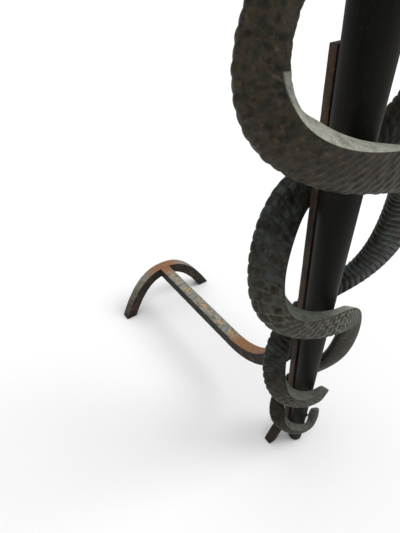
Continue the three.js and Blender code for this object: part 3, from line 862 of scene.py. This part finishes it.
    def head_relief(self, level: Array, rings: Array, centre: Array) -> Array:
        """Returns the height of the head's brow, mouth and nostrils."""
        tangent, _, _ = self.frames(level)
        up = unit(np.array([0.0, 0.0, 1.0]) - tangent * tangent[:, 2:3])
        lateral = np.cross(tangent, up)
        offset = rings - centre[:, None, :]
        tall = (offset * up[:, None, :]).sum(-1)
        wide = (offset * lateral[:, None, :]).sum(-1)
        tall = tall / np.abs(tall).max(axis=1, keepdims=True)
        wide = np.abs(wide) / np.abs(wide).max(axis=1, keepdims=True)
        along = self.head_shape(level)[0][:, None]
        mouth = -1.5 * hill(tall, -0.2, 0.07) * smoothstep(along, 0.3, 0.45)
        brow = 1.6 * hill(tall, 0.55, 0.2) * hill(wide, 0.72, 0.25) * hill(along, 0.52, 0.14)
        socket = -1.3 * hill(tall, 0.25, 0.16) * hill(along, 0.55, 0.07) * smoothstep(wide, 0.6, 0.9)
        nostril = -1.2 * hill(tall, 0.3, 0.14) * hill(along, 0.93, 0.025) * hill(wide, 0.6, 0.2)
        return mouth + brow + socket + nostril

    def part(self, label: str, low: float, high: float) -> Piece:
        """Builds one casting.

        The rings follow the frame's loops at a pitch that carries the scales, which no
        primitive or modifier lays along a twisted body, so its mesh is written directly.

        Args:
            label: The casting's name in the frame, without the serpent's.
            low: Level of its lower end.
            high: Level of its upper end.

        Returns:
            The piece.
        """
        length = float(self.distance(np.array([high]))[0] - self.distance(np.array([low]))[0])
        is_head = high > self.head_levels[0]
        level = np.linspace(low, high, max(12, int(length / self.ring_pitch)))
        rings, centre, face = self.section(level)
        s = self.distance(level)[:, None]
        around = np.linalg.norm(np.diff(rings, axis=1), axis=2)
        run = np.concatenate([np.zeros((len(level), 1)), np.cumsum(around, axis=1)], axis=1)
        middle = self.nose_points // 2
        a = run - run[:, middle : middle + 1]
        half = run[:, self.nose_points - 1 : self.nose_points] - run[:, middle : middle + 1]
        height, groove = self.relief(level, s + 0 * a, a)
        from_ridge = np.clip((half - np.abs(a)) / self.ridge, 0, 1)
        bare = self.blend(level)[:, None]
        fade = np.where(face > 0.5, 0, from_ridge)
        fade = fade + (1 - fade) * bare
        if is_head:
            on_head = smoothstep(self.head_shape(level)[0], 0.02, 0.3)[:, None]
            fade = fade * (1 - self.head_bare * on_head)
            height = height * fade + self.head_relief(level, rings, centre) * on_head
        else:
            height = height * fade
        share = np.minimum(1, smooth(self.thickness, 2 * np.abs(level)) / self.full_relief)
        height = height * (share * self.size(level))[:, None]
        ahead = np.gradient(rings, axis=0)
        sideways = np.roll(rings, -1, axis=1) - np.roll(rings, 1, axis=1)
        normal = np.cross(sideways, ahead)
        outward = rings - centre[:, None, :]
        normal = unit(normal * np.sign((normal * outward).sum(-1, keepdims=True)))
        rings = rings + normal * height[..., None]
        tints = {
            "face": np.where(face > 0.5, 1.0, 0.0) * np.ones_like(a),
            "groove": groove * fade * read(self.line, level),
            "top": np.clip(height * 1.2 + 0.4, 0, 1) * (1 - face),
            "brown": read(self.brown, level) * np.ones_like(a),
            # Blue-green on the scales' tops, partly a painted sheen of the light.
            "film": read(self.film, level) * np.ones_like(a),
            # Pale tint of faces and grooves; on the faces it is partly a painted highlight.
            "pale": read(self.pale, level) * np.ones_like(a),
        }
        return self.mesh(label, rings, tints)

    def mesh(self, label: str, rings: Array, tints: dict[str, Array]) -> Piece:
        """Joins rings of points into a closed piece and paints its values.

        Args:
            label: The casting's name in the frame, without the serpent's.
            rings: The points, in millimetres.
            tints: Each value's name, with one number for each point.

        Returns:
            The piece.
        """
        rows, count, _ = rings.shape
        ends = np.stack([rings[0].mean(0), rings[-1].mean(0)])
        points = np.concatenate([rings.reshape(-1, 3), ends]) * MM
        start = np.arange(rows - 1)[:, None] * count + np.arange(count)[None, :]
        beside = np.arange(rows - 1)[:, None] * count + (np.arange(count)[None, :] + 1) % count
        quads = np.stack([start, beside, beside + count, start + count], axis=-1).reshape(-1, 4)
        ring = np.arange(count)
        turn = (ring + 1) % count
        last = (rows - 1) * count
        low = np.stack([np.full(count, rows * count), turn, ring], axis=-1)
        high = np.stack([np.full(count, rows * count + 1), last + ring, last + turn], axis=-1)
        mesh = bpy.data.meshes.new(f"{self.name}_{label}_body")
        mesh.from_pydata(points.tolist(), [], [*quads.tolist(), *low.tolist(), *high.tolist()])
        for name, values in tints.items():
            flat = values.reshape(-1)
            flat = np.concatenate([flat, [values[0].mean(), values[-1].mean()]])
            layer = mesh.attributes.new(name, "FLOAT", "POINT")
            layer.data.foreach_set("value", flat.astype(np.float32))
        piece = put_in_scene(mesh.name, mesh)
        start_mesh()
        clean(piece)
        smooth_shade(piece, 50)
        return piece

    def eyes(self) -> list[Piece]:
        """Builds the two beads in the head's sockets."""
        start, end = self.head_levels
        along, outward, upward = self.eye_seat
        level = np.array([start + along * (end - start)])
        centre = self.centre(level)[0]
        tangent, front, _ = (part[0] for part in self.frames(level))
        up = unit(np.array([0.0, 0.0, 1.0]) - tangent * tangent[2])
        _, width, height = (float(part[0]) for part in self.head_shape(level))
        deep = float(smooth(self.depth, 2 * level)[0]) * width / 2
        thick = float(smooth(self.thickness, 2 * level)[0]) * height / 2
        beads = []
        for number, way in enumerate((1, -1)):
            place = (centre + front * way * deep * outward + up * thick * upward) * MM
            radius = self.eye_radius * MM
            bpy.ops.mesh.primitive_uv_sphere_add(segments=24, ring_count=14, radius=radius, location=place)
            bead = bpy.context.object
            bead.scale = (1.0, 0.8, 0.9)
            beads.append(settle(bead, f"{self.name}_eye_{number + 1}"))
            smooth_shade(bead, 60)
        return beads

    def build(self, bronze: Material, bead: Material) -> None:
        """Builds and dresses the castings and the eyes."""
        for label, low, high in self.parts:
            dress(self.part(label, low, high), bronze, "serpents", f"{self.name}_{label}")
        for piece in self.eyes():
            dress(piece, bead, "serpents")


# ---------------------------------------------------------------- staff and finial
@dataclass
class Staff:
    """The tapering staff with its finial.

    Attributes:
        foot_radius: Radius at the hearth, in metres.
        top_radius: Radius at the top.
        height: Height of the staff.
        back: Place of the flat down its back, along Y.
        foot_round: Width of the rounding at its foot.
        collar: Overhang and height of the finial's collar.
        neck: Radius and height of the finial's neck.
        neck_curve: Width and height of the curve from the collar into the neck.
        ball: Radius of the ball.
        seat_gap: Room between the staff and the finial.
        sides: Sides of the staff.
        spin_steps: Sides of the finial.
    """

    foot_radius: float = STAFF_FOOT * MM
    top_radius: float = (STAFF_FOOT + STAFF_GROWTH) * MM
    height: float = STAFF_HEIGHT * MM
    back: float = 9.2 * MM
    foot_round: float = 4 * MM
    collar: tuple[float, float] = (4 * MM, 9 * MM)
    neck: tuple[float, float] = (13 * MM, 8 * MM)
    neck_curve: tuple[float, float] = (4 * MM, 5 * MM)
    ball: float = 23 * MM
    seat_gap: float = SEAT_GAP
    sides: int = 96
    spin_steps: int = 72

    def core(self) -> Piece:
        """Builds the staff: a leaning cone with a flat back and a rounded foot."""
        start_mesh()
        bpy.ops.mesh.primitive_cone_add(
            vertices=self.sides,
            radius1=self.foot_radius,
            radius2=self.top_radius,
            depth=self.height,
            location=(0, 0, self.height / 2),
        )
        piece = settle(bpy.context.object, "staff_core")
        with editing(piece):
            body = bmesh.from_edit_mesh(piece.data)
            for vertex in body.verts:
                vertex.select = vertex.co.z > self.height / 2
            body.select_flush(True)
            bmesh.update_edit_mesh(piece.data)
            bpy.ops.transform.translate(value=(0, self.foot_radius - self.top_radius, 0))
            bpy.ops.mesh.select_all(action="SELECT")
            bpy.ops.mesh.bisect(plane_co=(0, self.back, 0), plane_no=(0, 1, 0), use_fill=True, clear_outer=True)
            bpy.ops.mesh.select_all(action="DESELECT")
            body = bmesh.from_edit_mesh(piece.data)
            for edge in body.edges:
                edge.select = all(vertex.co.z < TOUCHING for vertex in edge.verts)
            bmesh.update_edit_mesh(piece.data)
            bpy.ops.mesh.bevel(offset=self.foot_round, segments=5, affect="EDGES")
        clean(piece)
        smooth_shade(piece, 35)
        return piece

    def finial(self) -> Piece:
        """Builds the finial by spinning its profile: a collar, a neck and a ball."""
        overhang, collar_height = self.collar
        neck_radius, neck_height = self.neck
        wide, tall = self.neck_curve
        edge = self.top_radius + overhang
        rise = collar_height + neck_height + math.sqrt(self.ball**2 - neck_radius**2)
        profile = [(0.0, self.seat_gap), (self.top_radius, self.seat_gap)]
        for step in range(13):
            angle = math.pi * step / 12
            lift = collar_height / 2 - (collar_height / 2 - self.seat_gap) * math.cos(angle)
            bead = (edge - self.top_radius) * math.sin(angle)
            profile.append((self.top_radius + 0.1 * MM + bead, lift))
        for step in range(9):
            angle = math.pi / 2 * step / 8
            flare = wide * (1 - math.sin(angle))
            lift = collar_height + 0.6 * MM + tall * (1 - math.cos(angle))
            profile.append((neck_radius + flare, lift))
        start = math.asin(neck_radius / self.ball)
        for step in range(29):
            angle = start + (math.pi - start) * step / 28
            profile.append((self.ball * abs(math.sin(angle)), rise - self.ball * math.cos(angle)))
        start_mesh()
        middle = self.foot_radius - self.top_radius
        points = [(radius, middle, self.height + lift) for radius, lift in profile]
        points[0] = (0.0, *points[0][1:])
        points[-1] = (0.0, *points[-1][1:])
        mesh = bpy.data.meshes.new("finial_turned")
        mesh.from_pydata(points, [(i, i + 1) for i in range(len(points) - 1)], [])
        piece = put_in_scene(mesh.name, mesh)
        piece.select_set(True)
        with editing(piece):
            bpy.ops.mesh.select_all(action="SELECT")
            centre = (0, middle, self.height)
            bpy.ops.mesh.spin(steps=self.spin_steps, angle=2 * math.pi, center=centre, axis=(0, 0, 1))
        clean(piece)
        smooth_shade(piece, 40)
        return piece

    def build(self, bronze: Material) -> None:
        """Builds and dresses the staff and the finial."""
        dress(self.core(), bronze, "staff", "staff")
        dress(self.finial(), bronze, "staff", "finial")


# ---------------------------------------------------------------- ironwork
@dataclass
class SquareBar:
    """A forged bar drawn out station by station, with worn edges.

    Attributes:
        name: The piece's name.
        stations: The place of each outer corner and its inner corner, in the bar's plane.
        sides: The bar's two faces across that plane.
        in_front: True if the plane is X-Z, False if it is Y-Z.
        edge: Width of the worn edge.
        uneven: Depth of the hammered unevenness.
        seed: Moves the unevenness.
        swell: Length of its swells.
        mesh_size: Length of the longest edge that is left in the mesh.
    """

    name: str
    stations: list[Station]
    sides: tuple[float, float]
    in_front: bool
    edge: float = 1.3 * MM
    uneven: float = 0.22 * MM
    seed: int = 1
    swell: float = 9 * MM
    mesh_size: float = 5 * MM

    def corners(self, station: Station) -> list[Vector]:
        """Returns the four corners of the bar at a station."""
        (outer, inner), (near, far) = station, self.sides
        places = [(outer, near), (outer, far), (inner, far), (inner, near)]
        if self.in_front:
            return [Vector((across, side, up)) for (across, up), side in places]
        return [Vector((side, across, up)) for (across, up), side in places]

    def build(self) -> Piece:
        """Builds the bar: a square, extruded to each station in turn."""
        start_mesh()
        bpy.ops.mesh.primitive_plane_add(size=1)
        piece = bpy.context.object
        piece.name = self.name
        with editing(piece):
            for number, station in enumerate(self.stations):
                if number:
                    bpy.ops.mesh.extrude_region_move()
                body = bmesh.from_edit_mesh(piece.data)
                chosen = [vertex for vertex in body.verts if vertex.select]
                targets = self.corners(station)
                if number:
                    chosen = self.matched(chosen, self.corners(self.stations[number - 1]))
                else:
                    targets[2:] = targets[:1:-1]
                for vertex, place in zip(chosen, targets):
                    vertex.co = place
                bmesh.update_edit_mesh(piece.data)
        settle(piece, self.name)
        clean(piece)
        sharp = math.radians(50)
        apply(piece, "BEVEL", width=self.edge, segments=3, limit_method="ANGLE", angle_limit=sharp)
        self.divide(piece, self.mesh_size)
        roughen(piece, self.uneven, self.swell, self.seed)
        smooth_shade(piece, 42)
        return piece

    @staticmethod
    def matched(chosen: list[bmesh.types.BMVert], corners: list[Vector]) -> list[bmesh.types.BMVert]:
        """Returns the chosen points in the order of the corners that they lie on."""
        return [min(chosen, key=lambda vertex: (vertex.co - corner).length) for corner in corners]

    @staticmethod
    def divide(piece: Piece, longest: float) -> None:
        """Subdivides the long edges until none is longer than a length."""
        with editing(piece):
            for _ in range(6):
                body = bmesh.from_edit_mesh(piece.data)
                bpy.ops.mesh.select_all(action="DESELECT")
                long_edges = [edge for edge in body.edges if edge.calc_length() > longest]
                if not long_edges:
                    break
                for edge in long_edges:
                    edge.select = True
                bmesh.update_edit_mesh(piece.data)
                bpy.ops.mesh.subdivide(number_cuts=1)


@dataclass
class Ironwork:
    """The upright, the billet bar and the two feet.

    Attributes:
        bar: Side of the square bar.
        bar_top: Height of the billet bar's top.
        upright: Front and back of the upright, along Y.
        upright_top: Height of the upright.
        rear: Front of the rear foot, along Y.
        bend_start: Where the sweep begins, along Y.
        wide: Radius of the wide bend.
        tight: Radius of the tight bend.
        bend_angle: Angle of the wide bend.
        tongue_top: Height of the tongue.
        rear_arch: Half span and rise of the rear foot.
        small_arch: Half span, rise and bar of the front foot.
        small_front: Front and depth of the front foot, along Y.
        arch_power: Steepness of the arches' legs.
        seat_gap: Room between pieces that touch.
    """

    bar: float = 22 * MM
    bar_top: float = 102.4 * MM
    upright: tuple[float, float] = (11 * MM, UPRIGHT_BACK * MM)
    upright_top: float = 610 * MM
    rear: float = 436 * MM
    bend_start: float = 174.6 * MM
    wide: float = 120 * MM
    tight: float = 38 * MM
    bend_angle: float = math.radians(50)
    tongue_top: float = 235 * MM
    rear_arch: tuple[float, float] = (114.6 * MM, 102.4 * MM)
    small_arch: tuple[float, float, float] = (47.5 * MM, 40 * MM, 12 * MM)
    small_front: tuple[float, float] = (12 * MM, 14 * MM)
    arch_power: float = 2.32
    seat_gap: float = SEAT_GAP

    def sweep(self) -> list[Station]:
        """Returns the stations of the billet bar, from the rear foot to the tongue's top."""
        tongue = self.upright[1] + self.seat_gap
        stations: list[Station] = []
        end = self.rear - self.seat_gap
        for place in np.linspace(end, self.bend_start, 10)[:-1]:
            stations.append(((place, self.bar_top), (place, self.bar_top - self.bar)))
        for angle in np.linspace(0, self.bend_angle, 13):
            stations.append(self.turn(self.bend_start, self.bar_top + self.wide, self.wide, angle))
        outer = self.tight + self.bar
        drop = (self.wide - self.tight) * math.cos(self.bend_angle)
        wide_end = self.bend_start - (self.wide + self.bar) * math.sin(self.bend_angle)
        run = (wide_end - tongue - outer * (1 - math.sin(self.bend_angle))) / math.cos(self.bend_angle)
        height = self.bar_top + self.wide - drop + run * math.sin(self.bend_angle)
        for angle in np.linspace(self.bend_angle, math.pi / 2, 9):
            stations.append(self.turn(tongue + outer, height, self.tight, angle))
        stations.append(((tongue + self.bar, self.tongue_top), (tongue, self.tongue_top)))
        return stations

    def turn(self, across: float, up: float, radius: float, angle: float) -> Station:
        """Returns the station at an angle of a bend, round its centre."""
        way = (-math.sin(angle), -math.cos(angle))
        reaches = (radius, radius + self.bar)
        return tuple((across + reach * way[0], up + reach * way[1]) for reach in reaches)

    def arch(self, half_span: float, rise: float, bar: float) -> list[Station]:
        """Returns the stations of an arched foot, with its two ends flat on the hearth."""
        stations: list[Station] = []
        power = self.arch_power
        for share in np.sin(np.linspace(-math.pi / 2, math.pi / 2, 49)) * (1 + bar / half_span):
            slope = -math.copysign(1, share) * rise * power * abs(share) ** (power - 1) / half_span
            reach = bar / math.hypot(1, slope)
            outer = (half_span * share, rise * (1 - abs(share) ** power))
            inner = (outer[0] + reach * slope, outer[1] - reach)
            stations.append((outer, inner))
        kept = [station for station in stations if min(station[0][1], station[1][1]) > 0]
        first, last = self.sole(half_span, rise, bar, -1), self.sole(half_span, rise, bar, 1)
        return [first, *kept, last]

    def sole(self, half_span: float, rise: float, bar: float, side: int) -> Station:
        """Returns the flat end of an arch, at the hearth."""
        slope = rise * self.arch_power / half_span
        inner = half_span - bar * math.hypot(1, slope) / slope
        return ((side * half_span, 0.0), (side * inner, 0.0))

    def upright_strip(self) -> Piece:
        """Builds the upright strip behind the staff."""
        half = self.bar / 2
        low = self.small_arch[1] + self.seat_gap
        stations = [((-half, up), (half, up)) for up in np.linspace(low, self.upright_top, 30)]
        worn = {"edge": 0.8 * MM, "uneven": 0.12 * MM, "seed": 5}
        return SquareBar("upright_strip", stations, self.upright, True, **worn).build()

    def build(self, grey: Material, dark: Material, rusty: Material) -> None:
        """Builds and dresses the ironwork.

        Args:
            grey: Finish of the bar and the rear foot.
            dark: Finish of the front foot.
            rusty: Finish of the upright.
        """
        half = self.bar / 2
        billet = SquareBar("billet_forging", self.sweep(), (-half, half), False, seed=2)
        dress(billet.build(), grey, "ironwork", "billet_bar")
        rear, arch = (self.rear, self.rear + self.bar), self.arch(*self.rear_arch, self.bar)
        foot = SquareBar("rear_foot_forging", arch, rear, True, seed=3)
        dress(foot.build(), grey, "ironwork", "rear_foot")
        front, depth = self.small_front
        sides = (front, front + depth)
        small = SquareBar("front_foot_forging", self.arch(*self.small_arch), sides, True, seed=4)
        dress(small.build(), dark, "rusty_ironwork", "front_foot")
        dress(self.upright_strip(), rusty, "rusty_ironwork", "upright")


# ---------------------------------------------------------------- studio
@dataclass
class Studio:
    """The floor, the lamps and the camera.

    Attributes:
        eye: Place of the camera, in metres.
        yaw: Turn of the view from +Y towards +X, in degrees.
        pitch: Look down, in degrees.
        roll: Turn about the line of sight, in degrees.
        lens: Focal length, in millimetres.
        sensor: Width of the picture that it belongs to, in millimetres.
        floor_white: Colour of the floor.
        back_white: Colour of the background.
        world: Strength of the light from all round.
        key: Strength of the soft key light.
        key_from: The way to the key light.
        key_angle: Softness of the key light, in degrees.
        ceiling: Strength of the broad light from above.
        ceiling_angle: Softness of the light from above, in degrees.
    """

    eye: tuple[float, float, float] = (-0.313889, -0.242488, 0.67877)
    yaw: float = 31.1258
    pitch: float = 38.0758
    roll: float = -4.3041
    lens: float = 27.343
    sensor: float = 36.0
    floor_white: float = 0.93
    back_white: float = 0.95
    world: float = 0.3
    key: float = 1.15
    key_from: tuple[float, float, float] = (0.83, -0.55, 0.95)
    key_angle: float = 30.0
    ceiling: float = 1.75
    ceiling_angle: float = 100.0

    def camera(self) -> None:
        """Sets the camera at the photograph's viewing angle."""
        yaw, pitch, roll = (math.radians(value) for value in (self.yaw, self.pitch, self.roll))
        level = Vector((math.cos(yaw), -math.sin(yaw), 0))
        ahead = Vector((math.sin(yaw), math.cos(yaw), 0))
        forward = math.cos(pitch) * ahead - math.sin(pitch) * Vector((0, 0, 1))
        above = level.cross(forward)
        right = math.cos(roll) * level + math.sin(roll) * above
        up = math.cos(roll) * above - math.sin(roll) * level
        data = bpy.data.cameras.new("camera")
        data.lens = self.lens
        data.sensor_width = self.sensor
        data.clip_start = 20 * MM
        camera = put_in_scene("camera", data)
        turn = Matrix((right, up, -forward)).transposed().to_4x4()
        camera.matrix_world = Matrix.Translation(self.eye) @ turn
        bpy.context.scene.camera = camera

    @staticmethod
    def lamp(name: str, strength: float, way: tuple[float, float, float], angle: float) -> None:
        """Adds a distant lamp.

        Args:
            name: The lamp's name.
            strength: Its strength.
            way: The way to it.
            angle: Its softness, in degrees.
        """
        data = bpy.data.lights.new(name, "SUN")
        data.energy = strength
        data.angle = math.radians(angle)
        lamp = put_in_scene(name, data)
        lamp.rotation_euler = Vector(way).to_track_quat("Z", "Y").to_euler()

    def lights(self) -> None:
        """Lights the object from all round, from above and from a soft key light."""
        self.lamp("key", self.key, self.key_from, self.key_angle)
        self.lamp("ceiling", self.ceiling, (0.0, 0.0, 1.0), self.ceiling_angle)
        world = bpy.data.worlds.new("room")
        world.use_nodes = True
        bpy.context.scene.world = world
        nodes, links = world.node_tree.nodes, world.node_tree.links
        nodes.clear()
        light, back = nodes.new("ShaderNodeBackground"), nodes.new("ShaderNodeBackground")
        light.inputs["Strength"].default_value = self.world
        light.inputs["Color"].default_value = (1.0, 1.0, 1.0, 1.0)
        back.inputs["Color"].default_value = (*(self.back_white,) * 3, 1.0)
        path, mixer = nodes.new("ShaderNodeLightPath"), nodes.new("ShaderNodeMixShader")
        output = nodes.new("ShaderNodeOutputWorld")
        links.new(path.outputs["Is Camera Ray"], mixer.inputs["Fac"])
        links.new(light.outputs[0], mixer.inputs[1])
        links.new(back.outputs[0], mixer.inputs[2])
        links.new(mixer.outputs[0], output.inputs["Surface"])

    def floor(self) -> None:
        """Lays the pale floor."""
        start_mesh()
        bpy.ops.mesh.primitive_plane_add(size=60)
        floor = bpy.context.object
        floor.name = "floor"
        shade = Shade("pale_floor")
        shade.surface((self.floor_white,) * 3, 0.9, 0.0, 0.1)
        floor.data.materials.append(shade.material)

    def build(self) -> None:
        """Builds the studio."""
        bpy.context.scene.view_settings.view_transform = "Standard"
        self.camera()
        self.lights()
        self.floor()


def first_serpent() -> Serpent:
    """Returns the serpent whose tail curls round the foot."""
    return Serpent(
        name="serpent_a",
        side=1,
        tail=-0.38,
        parts=(("tail", -0.38, 0.999), ("middle", 1.001, 2.999), ("head", 3.001, 3.9)),
        scales=(
            Scales(-1.0, Pattern.RIBS, 3.2, height=0.7, groove=0.7),
            Scales(1.0, Pattern.RIBS, 5.6, height=1.4, groove=1.1, lean=0.1),
            Scales(1.74, Pattern.DIAMOND, 6.4, 8.0, 0.9, 0.8),
            Scales(1.98, Pattern.NET, 8.5, 9.5, 1.0, 0.9, 0.16),
            Scales(2.3, Pattern.NET, 11.5, 13.0, 1.35, 1.2, 0.08),
            Scales(3.0, Pattern.NET, 9.5, 11.0, 1.3, 1.1),
        ),
        brown=(
            (-0.4, 0.5), (0.5, 0.6), (1.0, 0.4), (1.5, 0.6), (2.0, 0.35), (2.4, 0.7), (2.6, 0.3),
            (3.0, 0.2), (3.6, 0.5),
        ),
        # Blue-green on the scales' tops, partly a painted sheen of the light.
        film=(
            (-0.4, 0.1), (1.5, 0.15), (2.0, 0.3), (2.3, 0.1), (2.5, 0.5), (2.9, 0.55), (3.2, 0.2),
            (3.9, 0.3),
        ),
        # Pale tint of faces and grooves; on the faces it is partly a painted highlight.
        pale=(
            (-0.4, 0.12), (0.0, 0.1), (1.0, 0.1), (1.65, 0.4), (1.8, 1.0), (2.0, 0.85), (2.15, 0.4),
            (3.0, 0.1), (3.9, 0.2),
        ),
        line=(
            (-0.4, 0.3), (1.0, 0.15), (1.7, 0.3), (1.85, 0.9), (2.2, 0.85), (2.4, 0.7), (2.6, 0.25),
            (2.8, 0.08), (3.2, 0.1), (3.9, 0.3),
        ),
    )


def second_serpent() -> Serpent:
    """Returns the serpent whose tail ends beside the staff's third crossing."""
    return Serpent(
        name="serpent_b",
        side=-1,
        tail=0.79,
        parts=(("tail", 0.79, 1.999), ("head", 2.001, 3.9)),
        scales=(
            Scales(0.0, Pattern.NET, 4.8, 6.0, 0.8, 0.7, 0.2),
            Scales(1.12, Pattern.NET, 8.0, 9.0, 1.1, 1.0, 0.3),
            Scales(1.42, Pattern.FOLDS, 9.0, height=1.3, groove=1.6),
            Scales(2.0, Pattern.RIBS, 9.2, height=2.6, groove=1.7, lean=-0.12),
            Scales(2.9, Pattern.OVAL, 9.0, 16.0, 1.1, 1.5, 0.12),
        ),
        brown=(
            (0.7, 0.5), (1.0, 0.4), (1.3, 0.8), (1.6, 0.25), (2.4, 0.2), (2.8, 0.6), (3.1, 1.0),
            (3.5, 1.0), (3.9, 0.7),
        ),
        # Blue-green on the scales' tops, partly a painted sheen of the light.
        film=((0.7, 0.3), (1.2, 0.1), (1.6, 0.35), (2.3, 0.7), (2.7, 0.6), (3.0, 0.05), (3.9, 0.1)),
        # Pale tint of faces and grooves; on the faces it is partly a painted highlight.
        pale=(
            (0.7, 0.3), (1.0, 0.25), (1.3, 0.1), (2.8, 0.3), (2.9, 0.9), (3.3, 1.0), (3.5, 0.6),
            (3.9, 0.2),
        ),
        line=((0.7, 0.6), (1.1, 0.7), (1.35, 0.7), (1.5, 0.1), (2.8, 0.0), (3.9, 0.1)),
    )


def dress_nodes(material: Material, **counts: int) -> None:
    """Gives some of the frame's nodes a finish.

    Args:
        material: The finish.
        **counts: Each node's name, and how many are numbered from 1, or 0 for a plain name.
    """
    for label, count in counts.items():
        for name in [f"{label}_{i + 1}" for i in range(count)] or [label]:
            node = frame["nodes"][name]
            node.data.materials.clear()
            node.data.materials.append(material)
            LOG.info("%s: dressed", name)


def clear_start_objects() -> None:
    """Removes what the empty file holds besides the frame."""
    for thing in list(bpy.data.objects):
        if "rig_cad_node" not in thing and not thing.name.startswith("body:"):
            bpy.data.objects.remove(thing)


def main() -> None:
    """Builds the pieces in order and dresses the frame's nodes."""
    logging.basicConfig(level=logging.INFO, format="%(message)s")
    clear_start_objects()
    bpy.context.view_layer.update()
    bronze, bead = ScaledBronze().make(), Eye().make()
    plain = SmoothBronze().make()
    rusty = WornIron("rusty_iron").make()
    for serpent in (first_serpent(), second_serpent()):
        serpent.build(bronze, bead)
    Staff().build(plain)
    Ironwork().build(ForgedIron("forged_iron").make(), WornIron("dark_iron", film=0.35).make(), rusty)
    dress_nodes(plain, finial_stud=0, crossing_pin=4, joint_dowel=3)
    dress_nodes(rusty, staff_screw=4, tongue_rivet=2)
    Studio().build()


if __name__ == "__main__":
    main()
